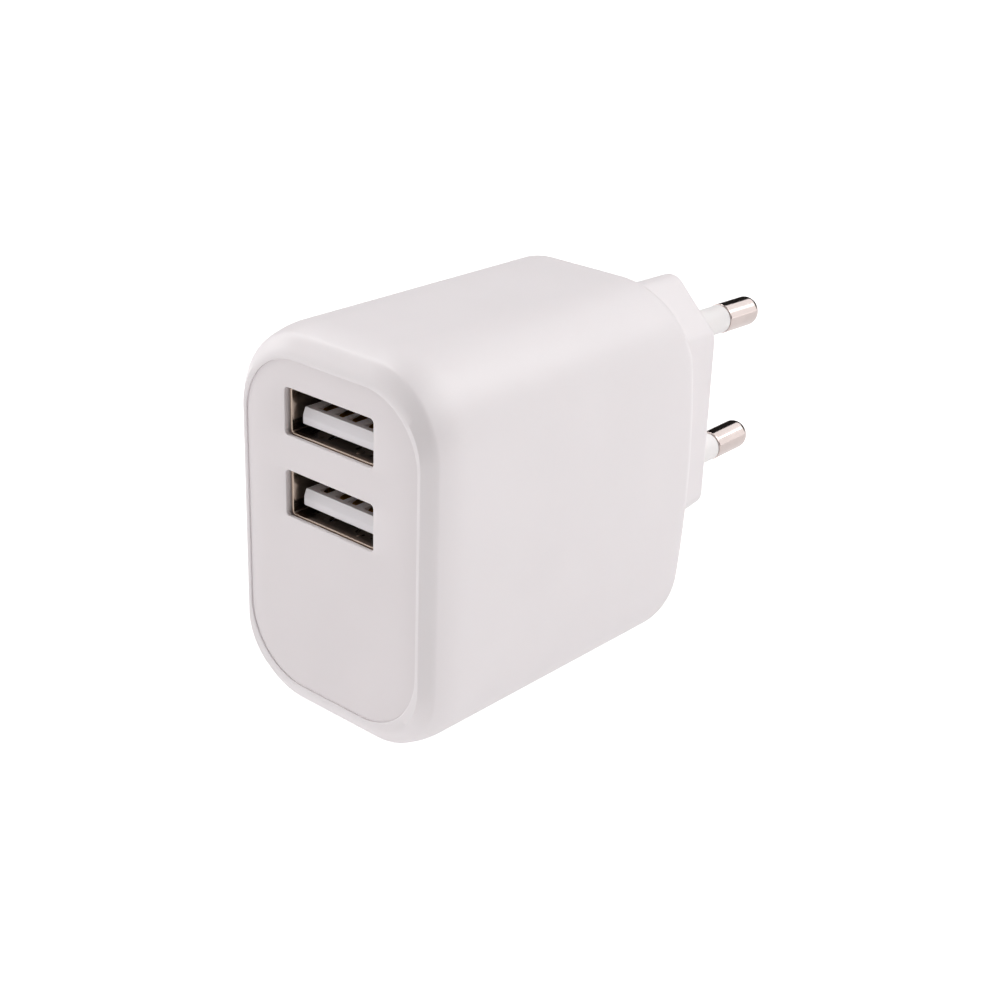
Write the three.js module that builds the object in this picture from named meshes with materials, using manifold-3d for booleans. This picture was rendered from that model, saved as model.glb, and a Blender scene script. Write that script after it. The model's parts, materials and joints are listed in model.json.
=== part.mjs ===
// Two-port USB wall charger with a two-pin European plug.
// Millimetres, +Z up. The origin is the middle of the plug's wall face, between the two pins.
// +Y runs out along the pins, so the panel with the USB sockets faces -Y.

import * as THREE from 'three';
import { mergeVertices } from 'three/addons/utils/BufferGeometryUtils.js';
import Module from 'manifold-3d';

const wasm = await Module();
wasm.setup();

// ---------------------------------------------------------------- driving dimensions

// Housing
const BODY_WIDTH = 30.7;
const BODY_HEIGHT = 46.0;
const BODY_DEPTH = 46.2;          // front plane to the middle of the back
const BODY_CORNER_R = 10.1;       // long edges, seen from the front
const RIM_DEPTH = 4.1;            // length of the softened front rim
const RIM_POWER = 1.8;            // 2 is an ellipse, 1 a plain chamfer
const RIM_LAND = 0.25;            // flat ring left between the rim and the panel
const SIDE_WALL = 2.0;            // housing beside the panel
const TOP_WALL = 3.2;             // housing above and below the panel
const BACK_EDGE_R = 2.0;
const BACK_CROWN = 2.8;           // how far the back bulges from its top and bottom edges
const BACK_WALL = 2.0;            // at its thinnest, at the top and bottom edges
const SPINE_THICKNESS = 1.2;      // rib across the plug's hollow, between the pins
const SPINE_HEIGHT = 5.0;
const ROOT_OVERLAP = 0.5;         // how far a rib or a skirt runs into the wall that carries it

// Plug
const PLUG_REACH = 14.1;          // middle of the back to the wall face
const PLUG_RISE = 0.75;           // middle of the plug above the middle of the body
const PLUG_WIDTH = 14.7;
const PLUG_HEIGHT = 35.4;
const PLUG_FLAT = 22.6;           // height of the flat sides, between the slanted corners
const PLUG_DRAFT = 0.35;          // growth of each side from the wall face to the housing
const PLUG_EDGE_R = 0.7;
const PLUG_CORNER_R = 2.0;
const PLUG_WALL = 1.9;
const PLUG_END_WALL = 3.2;

// Pins
const PIN_PITCH_ROOT = 19.0;      // between the axes at the wall face
const PIN_PITCH_TIP = 18.0;
const PIN_LENGTH = 18.6;
const PIN_DIAMETER = 4.0;
const PIN_CORE_DIAMETER = 2.8;
const PIN_TIP_R = 1.7;
const PIN_FLANGE_DIAMETER = 5.2;
const PIN_FLANGE_THICKNESS = 1.0;
const PIN_TAIL_DIAMETER = 2.0;
const PIN_TAIL_LENGTH = 3.0;
const SLEEVE_LENGTH = 11.0;       // bare metal starts this far from the wall face
const SLEEVE_DIAMETER = 3.8;
const LEAD_DIAMETER = 1.4;
const LEAD_SIDES = 8;

// Front panel
const PANEL_CORNER_R = 7.8;
const PANEL_THICKNESS = 1.8;
const SEAM_GAP = 0.2;
const SKIRT_INSET = 1.0;
const SKIRT_WALL = 1.2;
const SKIRT_DEPTH = 3.0;
const GUIDE_SIDE_WALL = 1.2;      // of the block round the sockets
const GUIDE_END_WALL = 1.0;
const STOP_HEIGHT = 0.75;         // ribs inside the housing that the panel's rim lands on
const STOP_WIDTH = 1.2;
const STOP_DEPTH = 5.0;

// USB sockets
const USB_DROP = 9.35;            // top of the housing to the middle of the upper socket
const USB_PITCH = 9.58;
const MOUTH_WIDTH = 13.6;
const MOUTH_HEIGHT = 5.5;
const MOUTH_CORNER_R = 0.5;
const SHELL_WIDTH = 13.1;
const SHELL_HEIGHT = 5.72;
const SHELL_SHEET = 0.3;
const SHELL_CORNER_R = 0.6;
const SHELL_DEPTH = 13.0;
const SHELL_SETBACK = 0.6;        // its front edge behind the panel's face
const TONGUE_WIDTH = 11.1;
const TONGUE_THICKNESS = 1.9;
const TONGUE_SETBACK = 0.85;      // behind the shell's front edge
const TONGUE_UNDER_GAP = 1.0;     // tongue to the shell's floor
const NOSE_RUN = 0.4;             // slant of the tongue's front, along Y
const NOSE_DROP = 1.0;            // and down from its top
const CORE_DEPTH = 3.6;           // moulded block that closes the socket's back
const CONTACT_OFFSETS = [-3.5, -1.0, 1.0, 3.5];
const CONTACT_WIDTH = 1.0;
const CONTACT_SHEET = 0.25;
const CONTACT_CROWN = 0.35;
const CONTACT_SETBACK = 1.3;      // behind the tongue's front edge
const SPRING_WIDTH = 2.2;
const SPRING_LENGTH = 5.2;
const SPRING_SLOT = 0.5;
const SPRING_OFFSET = 3.4;        // of each spring finger from the middle
const SPRING_SETBACK = 1.5;
const LEG_WIDTH = 1.6;
const LEG_OFFSET = 1.3;           // of each leg above or below the socket's middle
const LEG_REACH = 0.6;            // past the back of the socket board

// Circuit boards
const USB_BOARD_THICKNESS = 1.6;
const USB_BOARD_BOTTOM = 8.0;     // below the middle of the lower socket
const USB_BOARD_TOP = 2.2;        // above the middle of the upper socket
const USB_BOARD_LEFT_MARGIN = 0.6;
const USB_BOARD_RIGHT_MARGIN = 3.4;
const SHEET_SETBACK = 0.8;        // insulating sheet behind the main board's front edge
const MAIN_BOARD_THICKNESS = 1.2;
const MAIN_BOARD_WALL_GAP = 1.7;  // board to the housing's inner side
const MAIN_BOARD_EDGE_GAP = 3.85; // board's edges to the highest and lowest point of the hollow
const TAB_WIDTH = 4.0;
const TAB_REACH = 0.6;
const UPPER_TAB_DROP = 3.3;       // each tab's middle below the middle of its socket
const LOWER_TAB_DROP = 2.7;
const RAIL_WIDTH = 1.0;
const RAIL_OVERLAP = 0.8;         // how far a rail covers the board's edge

// Clearances
const FIT = 0.3;                  // between a piece and the hole or pocket that it sits in
const SOLDER_GAP = 0.15;          // between a component and its board
const SHEET_THICKNESS = 0.4;      // insulating sheet behind the socket board
const SHEET_MARGIN = 1.5;

// ---------------------------------------------------------------- derived places

const bodyBack = -PLUG_REACH;
const bodyFront = bodyBack - BODY_DEPTH;
const cavityBack = bodyBack - BACK_CROWN - BACK_WALL;
const cavityHalfW = BODY_WIDTH / 2 - SIDE_WALL;
const cavityHalfH = BODY_HEIGHT / 2 - TOP_WALL;
const cavityR = PANEL_CORNER_R + SEAM_GAP;
const panelHalfW = cavityHalfW - SEAM_GAP;
const panelHalfH = cavityHalfH - SEAM_GAP;
const pinTilt = Math.atan((PIN_PITCH_ROOT - PIN_PITCH_TIP) / 2 / PIN_LENGTH);
const shellFront = bodyFront + SHELL_SETBACK;
const shellBack = shellFront + SHELL_DEPTH;
const usbBoardFront = shellBack + FIT;
const usbBoardBack = usbBoardFront + USB_BOARD_THICKNESS;
const upperSocketZ = BODY_HEIGHT / 2 - USB_DROP;
const socketHeights = { upper: upperSocketZ, lower: upperSocketZ - USB_PITCH };
const mainBoardX = -cavityHalfW + MAIN_BOARD_WALL_GAP;
const mainBoardTopX = mainBoardX + MAIN_BOARD_THICKNESS;
const mainBoardFront = usbBoardBack + FIT;
const mainBoardBack = cavityBack - FIT;
const mainBoardHalf = cavityHalfH - MAIN_BOARD_EDGE_GAP;
const tabHeights = [socketHeights.upper - UPPER_TAB_DROP, socketHeights.lower - LOWER_TAB_DROP];
const insulatingSheetY = mainBoardFront + SHEET_SETBACK;
const componentX = mainBoardTopX + SOLDER_GAP;
const componentFront = insulatingSheetY + SHEET_THICKNESS + FIT;

// ---------------------------------------------------------------- geometry helpers

// A closed mesh as a solid: shared vertices merged, collapsed triangles dropped, faces turned out.
function solid(geometry) {
  const bare = geometry.clone();
  bare.deleteAttribute('normal');
  bare.deleteAttribute('uv');
  const merged = mergeVertices(bare, 1e-4);
  const position = merged.attributes.position;
  const corners = merged.index.array;
  const kept = [];
  let volume = 0;
  const [a, b, c] = [new THREE.Vector3(), new THREE.Vector3(), new THREE.Vector3()];
  for (let i = 0; i < corners.length; i += 3) {
    const [p, q, r] = [corners[i], corners[i + 1], corners[i + 2]];
    if (p === q || q === r || r === p) continue;
    kept.push(p, q, r);
    a.fromBufferAttribute(position, p);
    b.fromBufferAttribute(position, q);
    c.fromBufferAttribute(position, r);
    volume += a.dot(b.cross(c));
  }
  if (volume < 0) kept.reverse();
  return new wasm.Manifold(new wasm.Mesh({
    numProp: 3,
    vertProperties: new Float32Array(position.array),
    triVerts: new Uint32Array(kept),
  }));
}

function geometryOf(manifold) {
  const mesh = manifold.getMesh();
  const geometry = new THREE.BufferGeometry();
  geometry.setAttribute('position', new THREE.BufferAttribute(mesh.vertProperties, 3));
  geometry.setIndex(new THREE.BufferAttribute(mesh.triVerts, 1));
  geometry.computeVertexNormals();
  return geometry;
}

const join = (first, ...others) => others.reduce((whole, piece) => whole.add(piece), first);
const cut = (first, ...tools) => tools.reduce((whole, tool) => whole.subtract(tool), first);

// A box between two corners.
function block(x0, x1, y0, y1, z0, z1) {
  const geometry = new THREE.BoxGeometry(x1 - x0, y1 - y0, z1 - z0);
  geometry.translate((x0 + x1) / 2, (y0 + y1) / 2, (z0 + z1) / 2);
  return solid(geometry);
}

// The points of a polygon with every corner rounded; r is shortened where a side is short.
function roundedOutline(corners, radius, steps) {
  const points = [];
  corners.forEach((corner, i) => {
    const before = corners[(i + corners.length - 1) % corners.length];
    const after = corners[(i + 1) % corners.length];
    const toBefore = before.clone().sub(corner);
    const toAfter = after.clone().sub(corner);
    const halfAngle = Math.acos(toBefore.clone().normalize().dot(toAfter.clone().normalize())) / 2;
    const room = Math.min(toBefore.length(), toAfter.length()) * 0.48;
    const r = Math.min(radius, room * Math.tan(halfAngle));
    const middle = toBefore.normalize().add(toAfter.normalize()).normalize();
    const centre = corner.clone().addScaledVector(middle, r / Math.sin(halfAngle));
    const start = Math.atan2(-middle.y, -middle.x) - (Math.PI / 2 - halfAngle);
    for (let s = 0; s <= steps; s++) {
      const angle = start + (Math.PI - 2 * halfAngle) * s / steps;
      points.push(new THREE.Vector2(centre.x + r * Math.cos(angle), centre.y + r * Math.sin(angle)));
    }
  });
  return points;
}

function rectangle(halfW, halfH, r, steps = 8) {
  const corners = [[1, 1], [-1, 1], [-1, -1], [1, -1]];
  return roundedOutline(corners.map(([x, z]) => new THREE.Vector2(x * halfW, z * halfH)), r, steps);
}

// The plug's outline: an upright rectangle whose four corners are cut at 45 degrees.
function plugOutline(halfW, halfH, halfFlat, r) {
  const top = Math.max(halfW - (halfH - halfFlat), halfW * 0.1);
  const quarter = [[halfW, halfFlat], [top, halfH]];
  const corners = [
    ...quarter,
    ...quarter.toReversed().map(([x, z]) => [-x, z]),
    ...quarter.map(([x, z]) => [-x, -z]),
    ...quarter.toReversed().map(([x, z]) => [x, -z]),
  ];
  return roundedOutline(corners.map(([x, z]) => new THREE.Vector2(x, z)), r, 3);
}

// An outline drawn in X and Z, carried along Y.
function prism(outline, y0, y1, x = 0, z = 0) {
  const geometry = new THREE.ExtrudeGeometry(new THREE.Shape(outline), { depth: y1 - y0, bevelEnabled: false });
  geometry.rotateX(Math.PI / 2);
  geometry.translate(x, y1, z);
  return solid(geometry);
}

// A skin through matching rings of points, closed at both ends by a fan to the ring's middle.
function loft(rings) {
  const count = rings[0].length;
  const vertices = rings.flat().flatMap((p) => [p.x, p.y, p.z]);
  const indices = [];
  for (let r = 0; r + 1 < rings.length; r++) {
    for (let i = 0; i < count; i++) {
      const [a, b] = [r * count + i, r * count + (i + 1) % count];
      indices.push(a, b, b + count, a, b + count, a + count);
    }
  }
  [[0, false], [rings.length - 1, true]].forEach(([r, last]) => {
    const middle = vertices.length / 3;
    const centre = rings[r].reduce((sum, p) => sum.add(p), new THREE.Vector3()).divideScalar(count);
    vertices.push(centre.x, centre.y, centre.z);
    for (let i = 0; i < count; i++) {
      const [a, b] = [r * count + i, r * count + (i + 1) % count];
      indices.push(...(last ? [a, b, middle] : [b, a, middle]));
    }
  });
  const geometry = new THREE.BufferGeometry();
  geometry.setAttribute('position', new THREE.Float32BufferAttribute(vertices, 3));
  geometry.setIndex(indices);
  return solid(geometry);
}

// A turned shape about the Y axis; the profile is [radius, y] pairs that close on the axis or on themselves.
function turned(profile, sides = 24) {
  return solid(new THREE.LatheGeometry(profile.map(([r, y]) => new THREE.Vector2(r, y)), sides));
}

// A quarter circle of profile points about [r, y], between two angles measured from the Y axis.
function arc(r, y, radius, from, to, steps = 5) {
  return Array.from({ length: steps + 1 }, (_, i) => {
    const angle = THREE.MathUtils.degToRad(from + (to - from) * i / steps);
    return [r + radius * Math.sin(angle), y + radius * Math.cos(angle)];
  });
}

// A shape drawn in Y and Z, carried along X about x = 0.
function profileAcross(points, width) {
  const shape = new THREE.Shape(points.map(([y, z]) => new THREE.Vector2(y, z)));
  const geometry = new THREE.ExtrudeGeometry(shape, { depth: width, bevelEnabled: false });
  geometry.translate(0, 0, -width / 2);
  geometry.applyMatrix4(new THREE.Matrix4().makeBasis(
    new THREE.Vector3(0, 1, 0), new THREE.Vector3(0, 0, 1), new THREE.Vector3(1, 0, 0)));
  return solid(geometry);
}

// The room inside the housing between two depths, with the fit clearance taken off all round.
function hollowRoom(y0, y1) {
  return prism(rectangle(cavityHalfW - FIT, cavityHalfH - FIT, cavityR - FIT), y0, y1);
}

function paint(color, roughness, metalness = 0) {
  return new THREE.MeshStandardMaterial({ color, roughness, metalness });
}

function piece(name, manifold, material) {
  const mesh = new THREE.Mesh(geometryOf(manifold), material);
  mesh.name = name;
  return mesh;
}

const finishes = {
  housing: paint(0xf1edef, 0.42),
  panel: paint(0xeae6e8, 0.45),
  sleeve: paint(0xf4f2f2, 0.5),
  nickel: paint(0xc9c3ba, 0.18, 1),
  tin: paint(0x9a938a, 0.28, 1),
  insulator: paint(0xf5f5f2, 0.5),
  gold: paint(0xcaa25a, 0.25, 1),
  board: paint(0x2f6b3c, 0.55),
  wire: paint(0xb3261e, 0.5),
  ferrite: paint(0x33343a, 0.6),
  bobbin: paint(0x1b1b1d, 0.5),
  tape: paint(0xe3b52d, 0.4),
  can: paint(0x23242b, 0.4),
  polymerCan: paint(0xb9bcc2, 0.3, 1),
  black: paint(0x1a1a1c, 0.5),
  resistor: paint(0x4b7f6a, 0.55),
  ceramic: paint(0x2f6fb4, 0.5),
  sheet: paint(0xd9d2b8, 0.7),
};

// ---------------------------------------------------------------- housing

// The housing is drawn about the middle of the body; the plug and its bores sit higher by PLUG_RISE.

// The outer skin: rounded rectangles from the softened front rim to the crowned back.
function bodySkin() {
  const rimInX = BODY_WIDTH / 2 - cavityHalfW - RIM_LAND;
  const rimInZ = BODY_HEIGHT / 2 - cavityHalfH - RIM_LAND;
  const ring = (inX, inZ, y, crown) => {
    const r = Math.max(BODY_CORNER_R - (inX + inZ) / 2, 0.5);
    return rectangle(BODY_WIDTH / 2 - inX, BODY_HEIGHT / 2 - inZ, r, 8).map((p) =>
      new THREE.Vector3(p.x, y - crown * (p.y / (BODY_HEIGHT / 2)) ** 2, p.y));
  };
  const rings = [];
  const rimSteps = 6;
  for (let i = 0; i <= rimSteps; i++) {
    const angle = Math.PI / 2 * i / rimSteps;
    const inward = 1 - Math.sin(angle) ** (2 / RIM_POWER);
    const back = RIM_DEPTH * (1 - Math.cos(angle) ** (2 / RIM_POWER));
    rings.push(ring(rimInX * inward, rimInZ * inward, bodyFront + back, 0));
  }
  const edgeSteps = 5;
  for (let i = 0; i <= edgeSteps; i++) {
    const angle = Math.PI / 2 * i / edgeSteps;
    const inward = BACK_EDGE_R * (1 - Math.cos(angle));
    rings.push(ring(inward, inward, bodyBack - BACK_EDGE_R * (1 - Math.sin(angle)), BACK_CROWN));
  }
  for (const share of [0.35, 0.7]) {
    rings.push(ring(BODY_WIDTH / 2 * share, BODY_HEIGHT / 2 * share, bodyBack, BACK_CROWN));
  }
  return loft(rings);
}

// The plug, lofted from inside the back wall to the wall face, with a softened end edge.
function plugSkin(shrink, y0, y1, edgeR) {
  const ring = (y, inward) => {
    const grow = PLUG_DRAFT * -y / PLUG_REACH - shrink - inward;
    return plugOutline(PLUG_WIDTH / 2 + grow, PLUG_HEIGHT / 2 + grow, PLUG_FLAT / 2 + grow * 0.4, PLUG_CORNER_R)
      .map((p) => new THREE.Vector3(p.x, y, p.y));
  };
  const rings = [ring(y0, 0)];
  const steps = edgeR > 0 ? 3 : 0;
  for (let i = 0; i <= steps; i++) {
    const angle = steps ? Math.PI / 2 * i / steps : 0;
    rings.push(ring(y1 - edgeR * (1 - Math.sin(angle)), edgeR * (1 - Math.cos(angle))));
  }
  return loft(rings);
}

// Ribs inside the mouth that stop the panel, and the two pairs of rails that hold the main board.
function housingRibs() {
  const stopFront = bodyFront + PANEL_THICKNESS + FIT;
  const stops = [];
  for (const side of [-1, 1]) {
    const [zIn, zOut] = [cavityHalfH - STOP_HEIGHT, cavityHalfH + ROOT_OVERLAP];
    const [z0, z1] = side > 0 ? [zIn, zOut] : [-zOut, -zIn];
    const [x0, x1] = side > 0
      ? [cavityHalfW - STOP_HEIGHT, cavityHalfW + ROOT_OVERLAP]
      : [-cavityHalfW - ROOT_OVERLAP, -cavityHalfW + STOP_HEIGHT];
    for (const x of [-panelHalfW / 4, panelHalfW / 4]) {
      stops.push(block(x - STOP_WIDTH / 2, x + STOP_WIDTH / 2, stopFront, stopFront + STOP_DEPTH, z0, z1));
    }
    for (const z of [-panelHalfH * 0.4, panelHalfH * 0.4]) {
      stops.push(block(x0, x1, stopFront, stopFront + STOP_DEPTH, z - STOP_WIDTH / 2, z + STOP_WIDTH / 2));
    }
  }
  const rails = [];
  const railStart = mainBoardHalf - RAIL_OVERLAP;
  const walls = [
    [mainBoardTopX + SOLDER_GAP, mainBoardTopX + SOLDER_GAP + RAIL_WIDTH],
    [-cavityHalfW - ROOT_OVERLAP, mainBoardX - SOLDER_GAP],
  ];
  for (const [x0, x1] of walls) {
    const [y0, y1, zEnd] = [componentFront, cavityBack + ROOT_OVERLAP, cavityHalfH + ROOT_OVERLAP];
    rails.push(block(x0, x1, y0, y1, railStart, zEnd));
    rails.push(block(x0, x1, y0, y1, -zEnd, -railStart));
  }
  const reach = ROOT_OVERLAP + 0.1;
  const keptInside = prism(
    rectangle(cavityHalfW + reach, cavityHalfH + reach, cavityR + reach), bodyFront, bodyBack);
  return join(...stops, ...rails).intersect(keptInside);
}

function housing() {
  const raised = (manifold) => manifold.translate([0, 0, PLUG_RISE]);
  const skin = join(bodySkin(), raised(plugSkin(0, cavityBack, 0, PLUG_EDGE_R)));
  const cavity = prism(rectangle(cavityHalfW, cavityHalfH, cavityR), bodyFront - 1, cavityBack);
  const plugHollow = raised(plugSkin(PLUG_WALL, cavityBack - 1, -PLUG_END_WALL, 0));
  const boreR = SLEEVE_DIAMETER / 2 + FIT;
  const bores = [-1, 1].map((side) => turned(
    [[0, -PLUG_END_WALL - 1], [boreR, -PLUG_END_WALL - 1], [boreR, 1], [0, 1]], 20)
    .translate([0, 0, PLUG_RISE + side * PIN_PITCH_ROOT / 2]));
  const hollow = cut(skin, cavity, plugHollow, ...bores);
  const spine = block(-SPINE_THICKNESS / 2, SPINE_THICKNESS / 2, cavityBack + BACK_WALL,
    -PLUG_END_WALL + ROOT_OVERLAP, -SPINE_HEIGHT / 2, SPINE_HEIGHT / 2);
  return join(hollow, housingRibs(), raised(spine));
}

// ---------------------------------------------------------------- front panel

function frontPanel() {
  const back = bodyFront + PANEL_THICKNESS;
  const plate = prism(rectangle(panelHalfW, panelHalfH, PANEL_CORNER_R), bodyFront, back);
  const ring = (inset, y0, y1) => prism(
    rectangle(panelHalfW - inset, panelHalfH - inset, PANEL_CORNER_R - inset), y0, y1);
  const skirt = cut(
    ring(SKIRT_INSET, back - ROOT_OVERLAP, back + SKIRT_DEPTH),
    ring(SKIRT_INSET + SKIRT_WALL, back - 1, back + SKIRT_DEPTH + 1));
  const guideHalfW = SHELL_WIDTH / 2 + FIT + GUIDE_SIDE_WALL;
  const guideMargin = SHELL_HEIGHT / 2 + FIT + GUIDE_END_WALL;
  const guideLimit = panelHalfH - SKIRT_INSET;
  const guide = block(-guideHalfW, guideHalfW, back - ROOT_OVERLAP, back + SKIRT_DEPTH,
    Math.max(socketHeights.lower - guideMargin, -guideLimit),
    Math.min(socketHeights.upper + guideMargin, guideLimit));
  const tools = Object.values(socketHeights).flatMap((z) => [
    prism(rectangle(MOUTH_WIDTH / 2, MOUTH_HEIGHT / 2, MOUTH_CORNER_R, 3), bodyFront - 1, back, 0, z),
    prism(rectangle(SHELL_WIDTH / 2 + FIT, SHELL_HEIGHT / 2 + FIT, SHELL_CORNER_R + FIT, 3),
      shellFront - FIT, back + SKIRT_DEPTH + 1, 0, z),
  ]);
  return cut(join(plate, skirt, guide), ...tools);
}

// ---------------------------------------------------------------- USB sockets
// Each socket is drawn about the middle of its shell's front edge, and placed by its group.

const shellFloor = -SHELL_HEIGHT / 2 + SHELL_SHEET;
const tongueBottom = shellFloor + TONGUE_UNDER_GAP;
const tongueTop = tongueBottom + TONGUE_THICKNESS;
const coreFront = SHELL_DEPTH - CORE_DEPTH;
const contactBack = usbBoardBack - shellFront + LEG_REACH;

// Folded sheet-metal shell, with two spring fingers above and below, and four solder legs.
function usbShell() {
  const outer = prism(rectangle(SHELL_WIDTH / 2, SHELL_HEIGHT / 2, SHELL_CORNER_R, 4), 0, SHELL_DEPTH);
  const inner = prism(
    rectangle(SHELL_WIDTH / 2 - SHELL_SHEET, SHELL_HEIGHT / 2 - SHELL_SHEET, SHELL_CORNER_R - SHELL_SHEET, 4),
    -1, SHELL_DEPTH + 1);
  const slots = [];
  for (const x of [-SPRING_OFFSET, SPRING_OFFSET]) {
    for (const side of [-1, 1]) {
      const [z0, z1] = side > 0 ? [SHELL_HEIGHT / 2 - 1, SHELL_HEIGHT / 2 + 1] : [-SHELL_HEIGHT / 2 - 1, shellFloor + 0.2];
      const [y0, y1] = [SPRING_SETBACK, SPRING_SETBACK + SPRING_LENGTH];
      const half = SPRING_WIDTH / 2;
      slots.push(block(x - half - SPRING_SLOT, x - half, y0, y1, z0, z1));
      slots.push(block(x + half, x + half + SPRING_SLOT, y0, y1, z0, z1));
      slots.push(block(x - half - SPRING_SLOT, x + half + SPRING_SLOT, y1 - SPRING_SLOT, y1, z0, z1));
    }
  }
  const legs = [-1, 1].flatMap((side) => [-1, 1].map((up) => {
    const xMid = side * (SHELL_WIDTH / 2 - SHELL_SHEET / 2);
    return block(xMid - SHELL_SHEET / 2, xMid + SHELL_SHEET / 2, SHELL_DEPTH - 0.5, contactBack,
      up * LEG_OFFSET - LEG_WIDTH / 2, up * LEG_OFFSET + LEG_WIDTH / 2);
  }));
  return join(cut(outer, inner, ...slots), ...legs);
}

// Moulded insulator: the tongue with its slanted nose and the block behind it, grooved for the four contacts.
function usbInsulator() {
  const halfW = SHELL_WIDTH / 2 - SHELL_SHEET - FIT / 2;
  const halfH = SHELL_HEIGHT / 2 - SHELL_SHEET - FIT / 2;
  const core = block(-halfW, halfW, coreFront, SHELL_DEPTH - FIT, -halfH, halfH);
  const tongueBack = coreFront + ROOT_OVERLAP;
  const tongue = profileAcross([
    [TONGUE_SETBACK, tongueBottom],
    [tongueBack, tongueBottom],
    [tongueBack, tongueTop],
    [TONGUE_SETBACK + NOSE_RUN, tongueTop],
    [TONGUE_SETBACK, tongueTop - NOSE_DROP],
  ], TONGUE_WIDTH);
  const grooveHalf = CONTACT_WIDTH / 2 + FIT / 2;
  const grooves = CONTACT_OFFSETS.map((x) => block(x - grooveHalf, x + grooveHalf,
    TONGUE_SETBACK + CONTACT_SETBACK - FIT, SHELL_DEPTH + 1,
    tongueTop - 2 * CONTACT_SHEET - FIT / 2, tongueTop + CONTACT_SHEET + FIT / 2));
  return cut(join(core, tongue), ...grooves);
}

// One contact: a thin strip that crowns above the tongue, then runs straight back to the board.
function usbContact() {
  const start = TONGUE_SETBACK + CONTACT_SETBACK;
  const rest = tongueTop - CONTACT_SHEET;
  const upper = [
    [start, rest - 0.1],
    [start + 0.7, rest + CONTACT_SHEET],
    [start + 1.5, rest + CONTACT_CROWN],
    [start + 2.6, rest + CONTACT_CROWN],
    [start + 4.6, rest + CONTACT_SHEET * 0.4],
    [contactBack, rest + CONTACT_SHEET * 0.4],
  ];
  const lower = upper.map(([y, z]) => [y, z - CONTACT_SHEET]).reverse();
  return profileAcross([...upper, ...lower], CONTACT_WIDTH);
}

function usbSocket(name, z) {
  const group = new THREE.Group();
  group.position.set(0, shellFront, z);
  group.add(piece(`usb_shell_${name}`, usbShell(), finishes.tin));
  group.add(piece(`usb_insulator_${name}`, usbInsulator(), finishes.insulator));
  CONTACT_OFFSETS.forEach((x, i) => {
    const contact = piece(`usb_contact_${name}_${i + 1}`, usbContact(), finishes.gold);
    contact.position.x = x;
    group.add(contact);
  });
  return group;
}

// ---------------------------------------------------------------- pins
// Each pin is drawn along Y about its root in the wall face, and its group tilts it inwards.

const flangeFront = -PLUG_END_WALL - FIT;
const flangeBack = flangeFront - PIN_FLANGE_THICKNESS;

function pinMetal() {
  const core = PIN_CORE_DIAMETER / 2;
  const tail = PIN_TAIL_DIAMETER / 2;
  const bare = PIN_DIAMETER / 2;
  return turned([
    [0, flangeBack - PIN_TAIL_LENGTH],
    [tail, flangeBack - PIN_TAIL_LENGTH],
    [tail, flangeBack],
    [PIN_FLANGE_DIAMETER / 2, flangeBack],
    [PIN_FLANGE_DIAMETER / 2, flangeFront],
    [core, flangeFront],
    [core, SLEEVE_LENGTH + 0.1],
    [bare - 0.1, SLEEVE_LENGTH + 0.1],
    [bare, SLEEVE_LENGTH + 0.25],
    ...arc(bare - PIN_TIP_R, PIN_LENGTH - PIN_TIP_R, PIN_TIP_R, 90, 0, 6),
    [0, PIN_LENGTH],
  ]);
}

function pinSleeve() {
  const [inner, outer] = [PIN_CORE_DIAMETER / 2 + FIT / 2, SLEEVE_DIAMETER / 2];
  const start = flangeFront + FIT / 2;
  return turned([[inner, start], [outer, start], [outer, SLEEVE_LENGTH], [inner, SLEEVE_LENGTH], [inner, start]]);
}

function pin(name, side) {
  const group = new THREE.Group();
  group.position.z = side * PIN_PITCH_ROOT / 2;
  group.rotation.x = -side * pinTilt;
  group.add(piece(`pin_${name}`, pinMetal(), finishes.nickel));
  group.add(piece(`pin_sleeve_${name}`, pinSleeve(), finishes.sleeve));
  return group;
}

// Insulated wire from a pin's tail to the edge of the main board.
function pinLead(name, side) {
  const tailEnd = flangeBack - PIN_TAIL_LENGTH - FIT;
  const z = side * PIN_PITCH_ROOT / 2;
  const landing = cavityBack - LEAD_DIAMETER - FIT;
  const route = new THREE.CatmullRomCurve3([
    new THREE.Vector3(0, tailEnd, z),
    new THREE.Vector3(0, tailEnd * 0.6 + landing * 0.4, z),
    new THREE.Vector3(componentX * 0.12, tailEnd * 0.25 + landing * 0.75, z),
    new THREE.Vector3(componentX * 0.45, landing, z),
    new THREE.Vector3(componentX + FIT, landing, z),
  ]);
  const section = new THREE.Shape(Array.from({ length: LEAD_SIDES }, (_, i) => new THREE.Vector2(
    LEAD_DIAMETER / 2 * Math.cos(i * 2 * Math.PI / LEAD_SIDES),
    LEAD_DIAMETER / 2 * Math.sin(i * 2 * Math.PI / LEAD_SIDES))));
  const tube = new THREE.ExtrudeGeometry(section, { steps: 18, bevelEnabled: false, extrudePath: route });
  return piece(`pin_lead_${name}`, solid(tube), finishes.wire);
}

// ---------------------------------------------------------------- circuit boards

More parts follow.
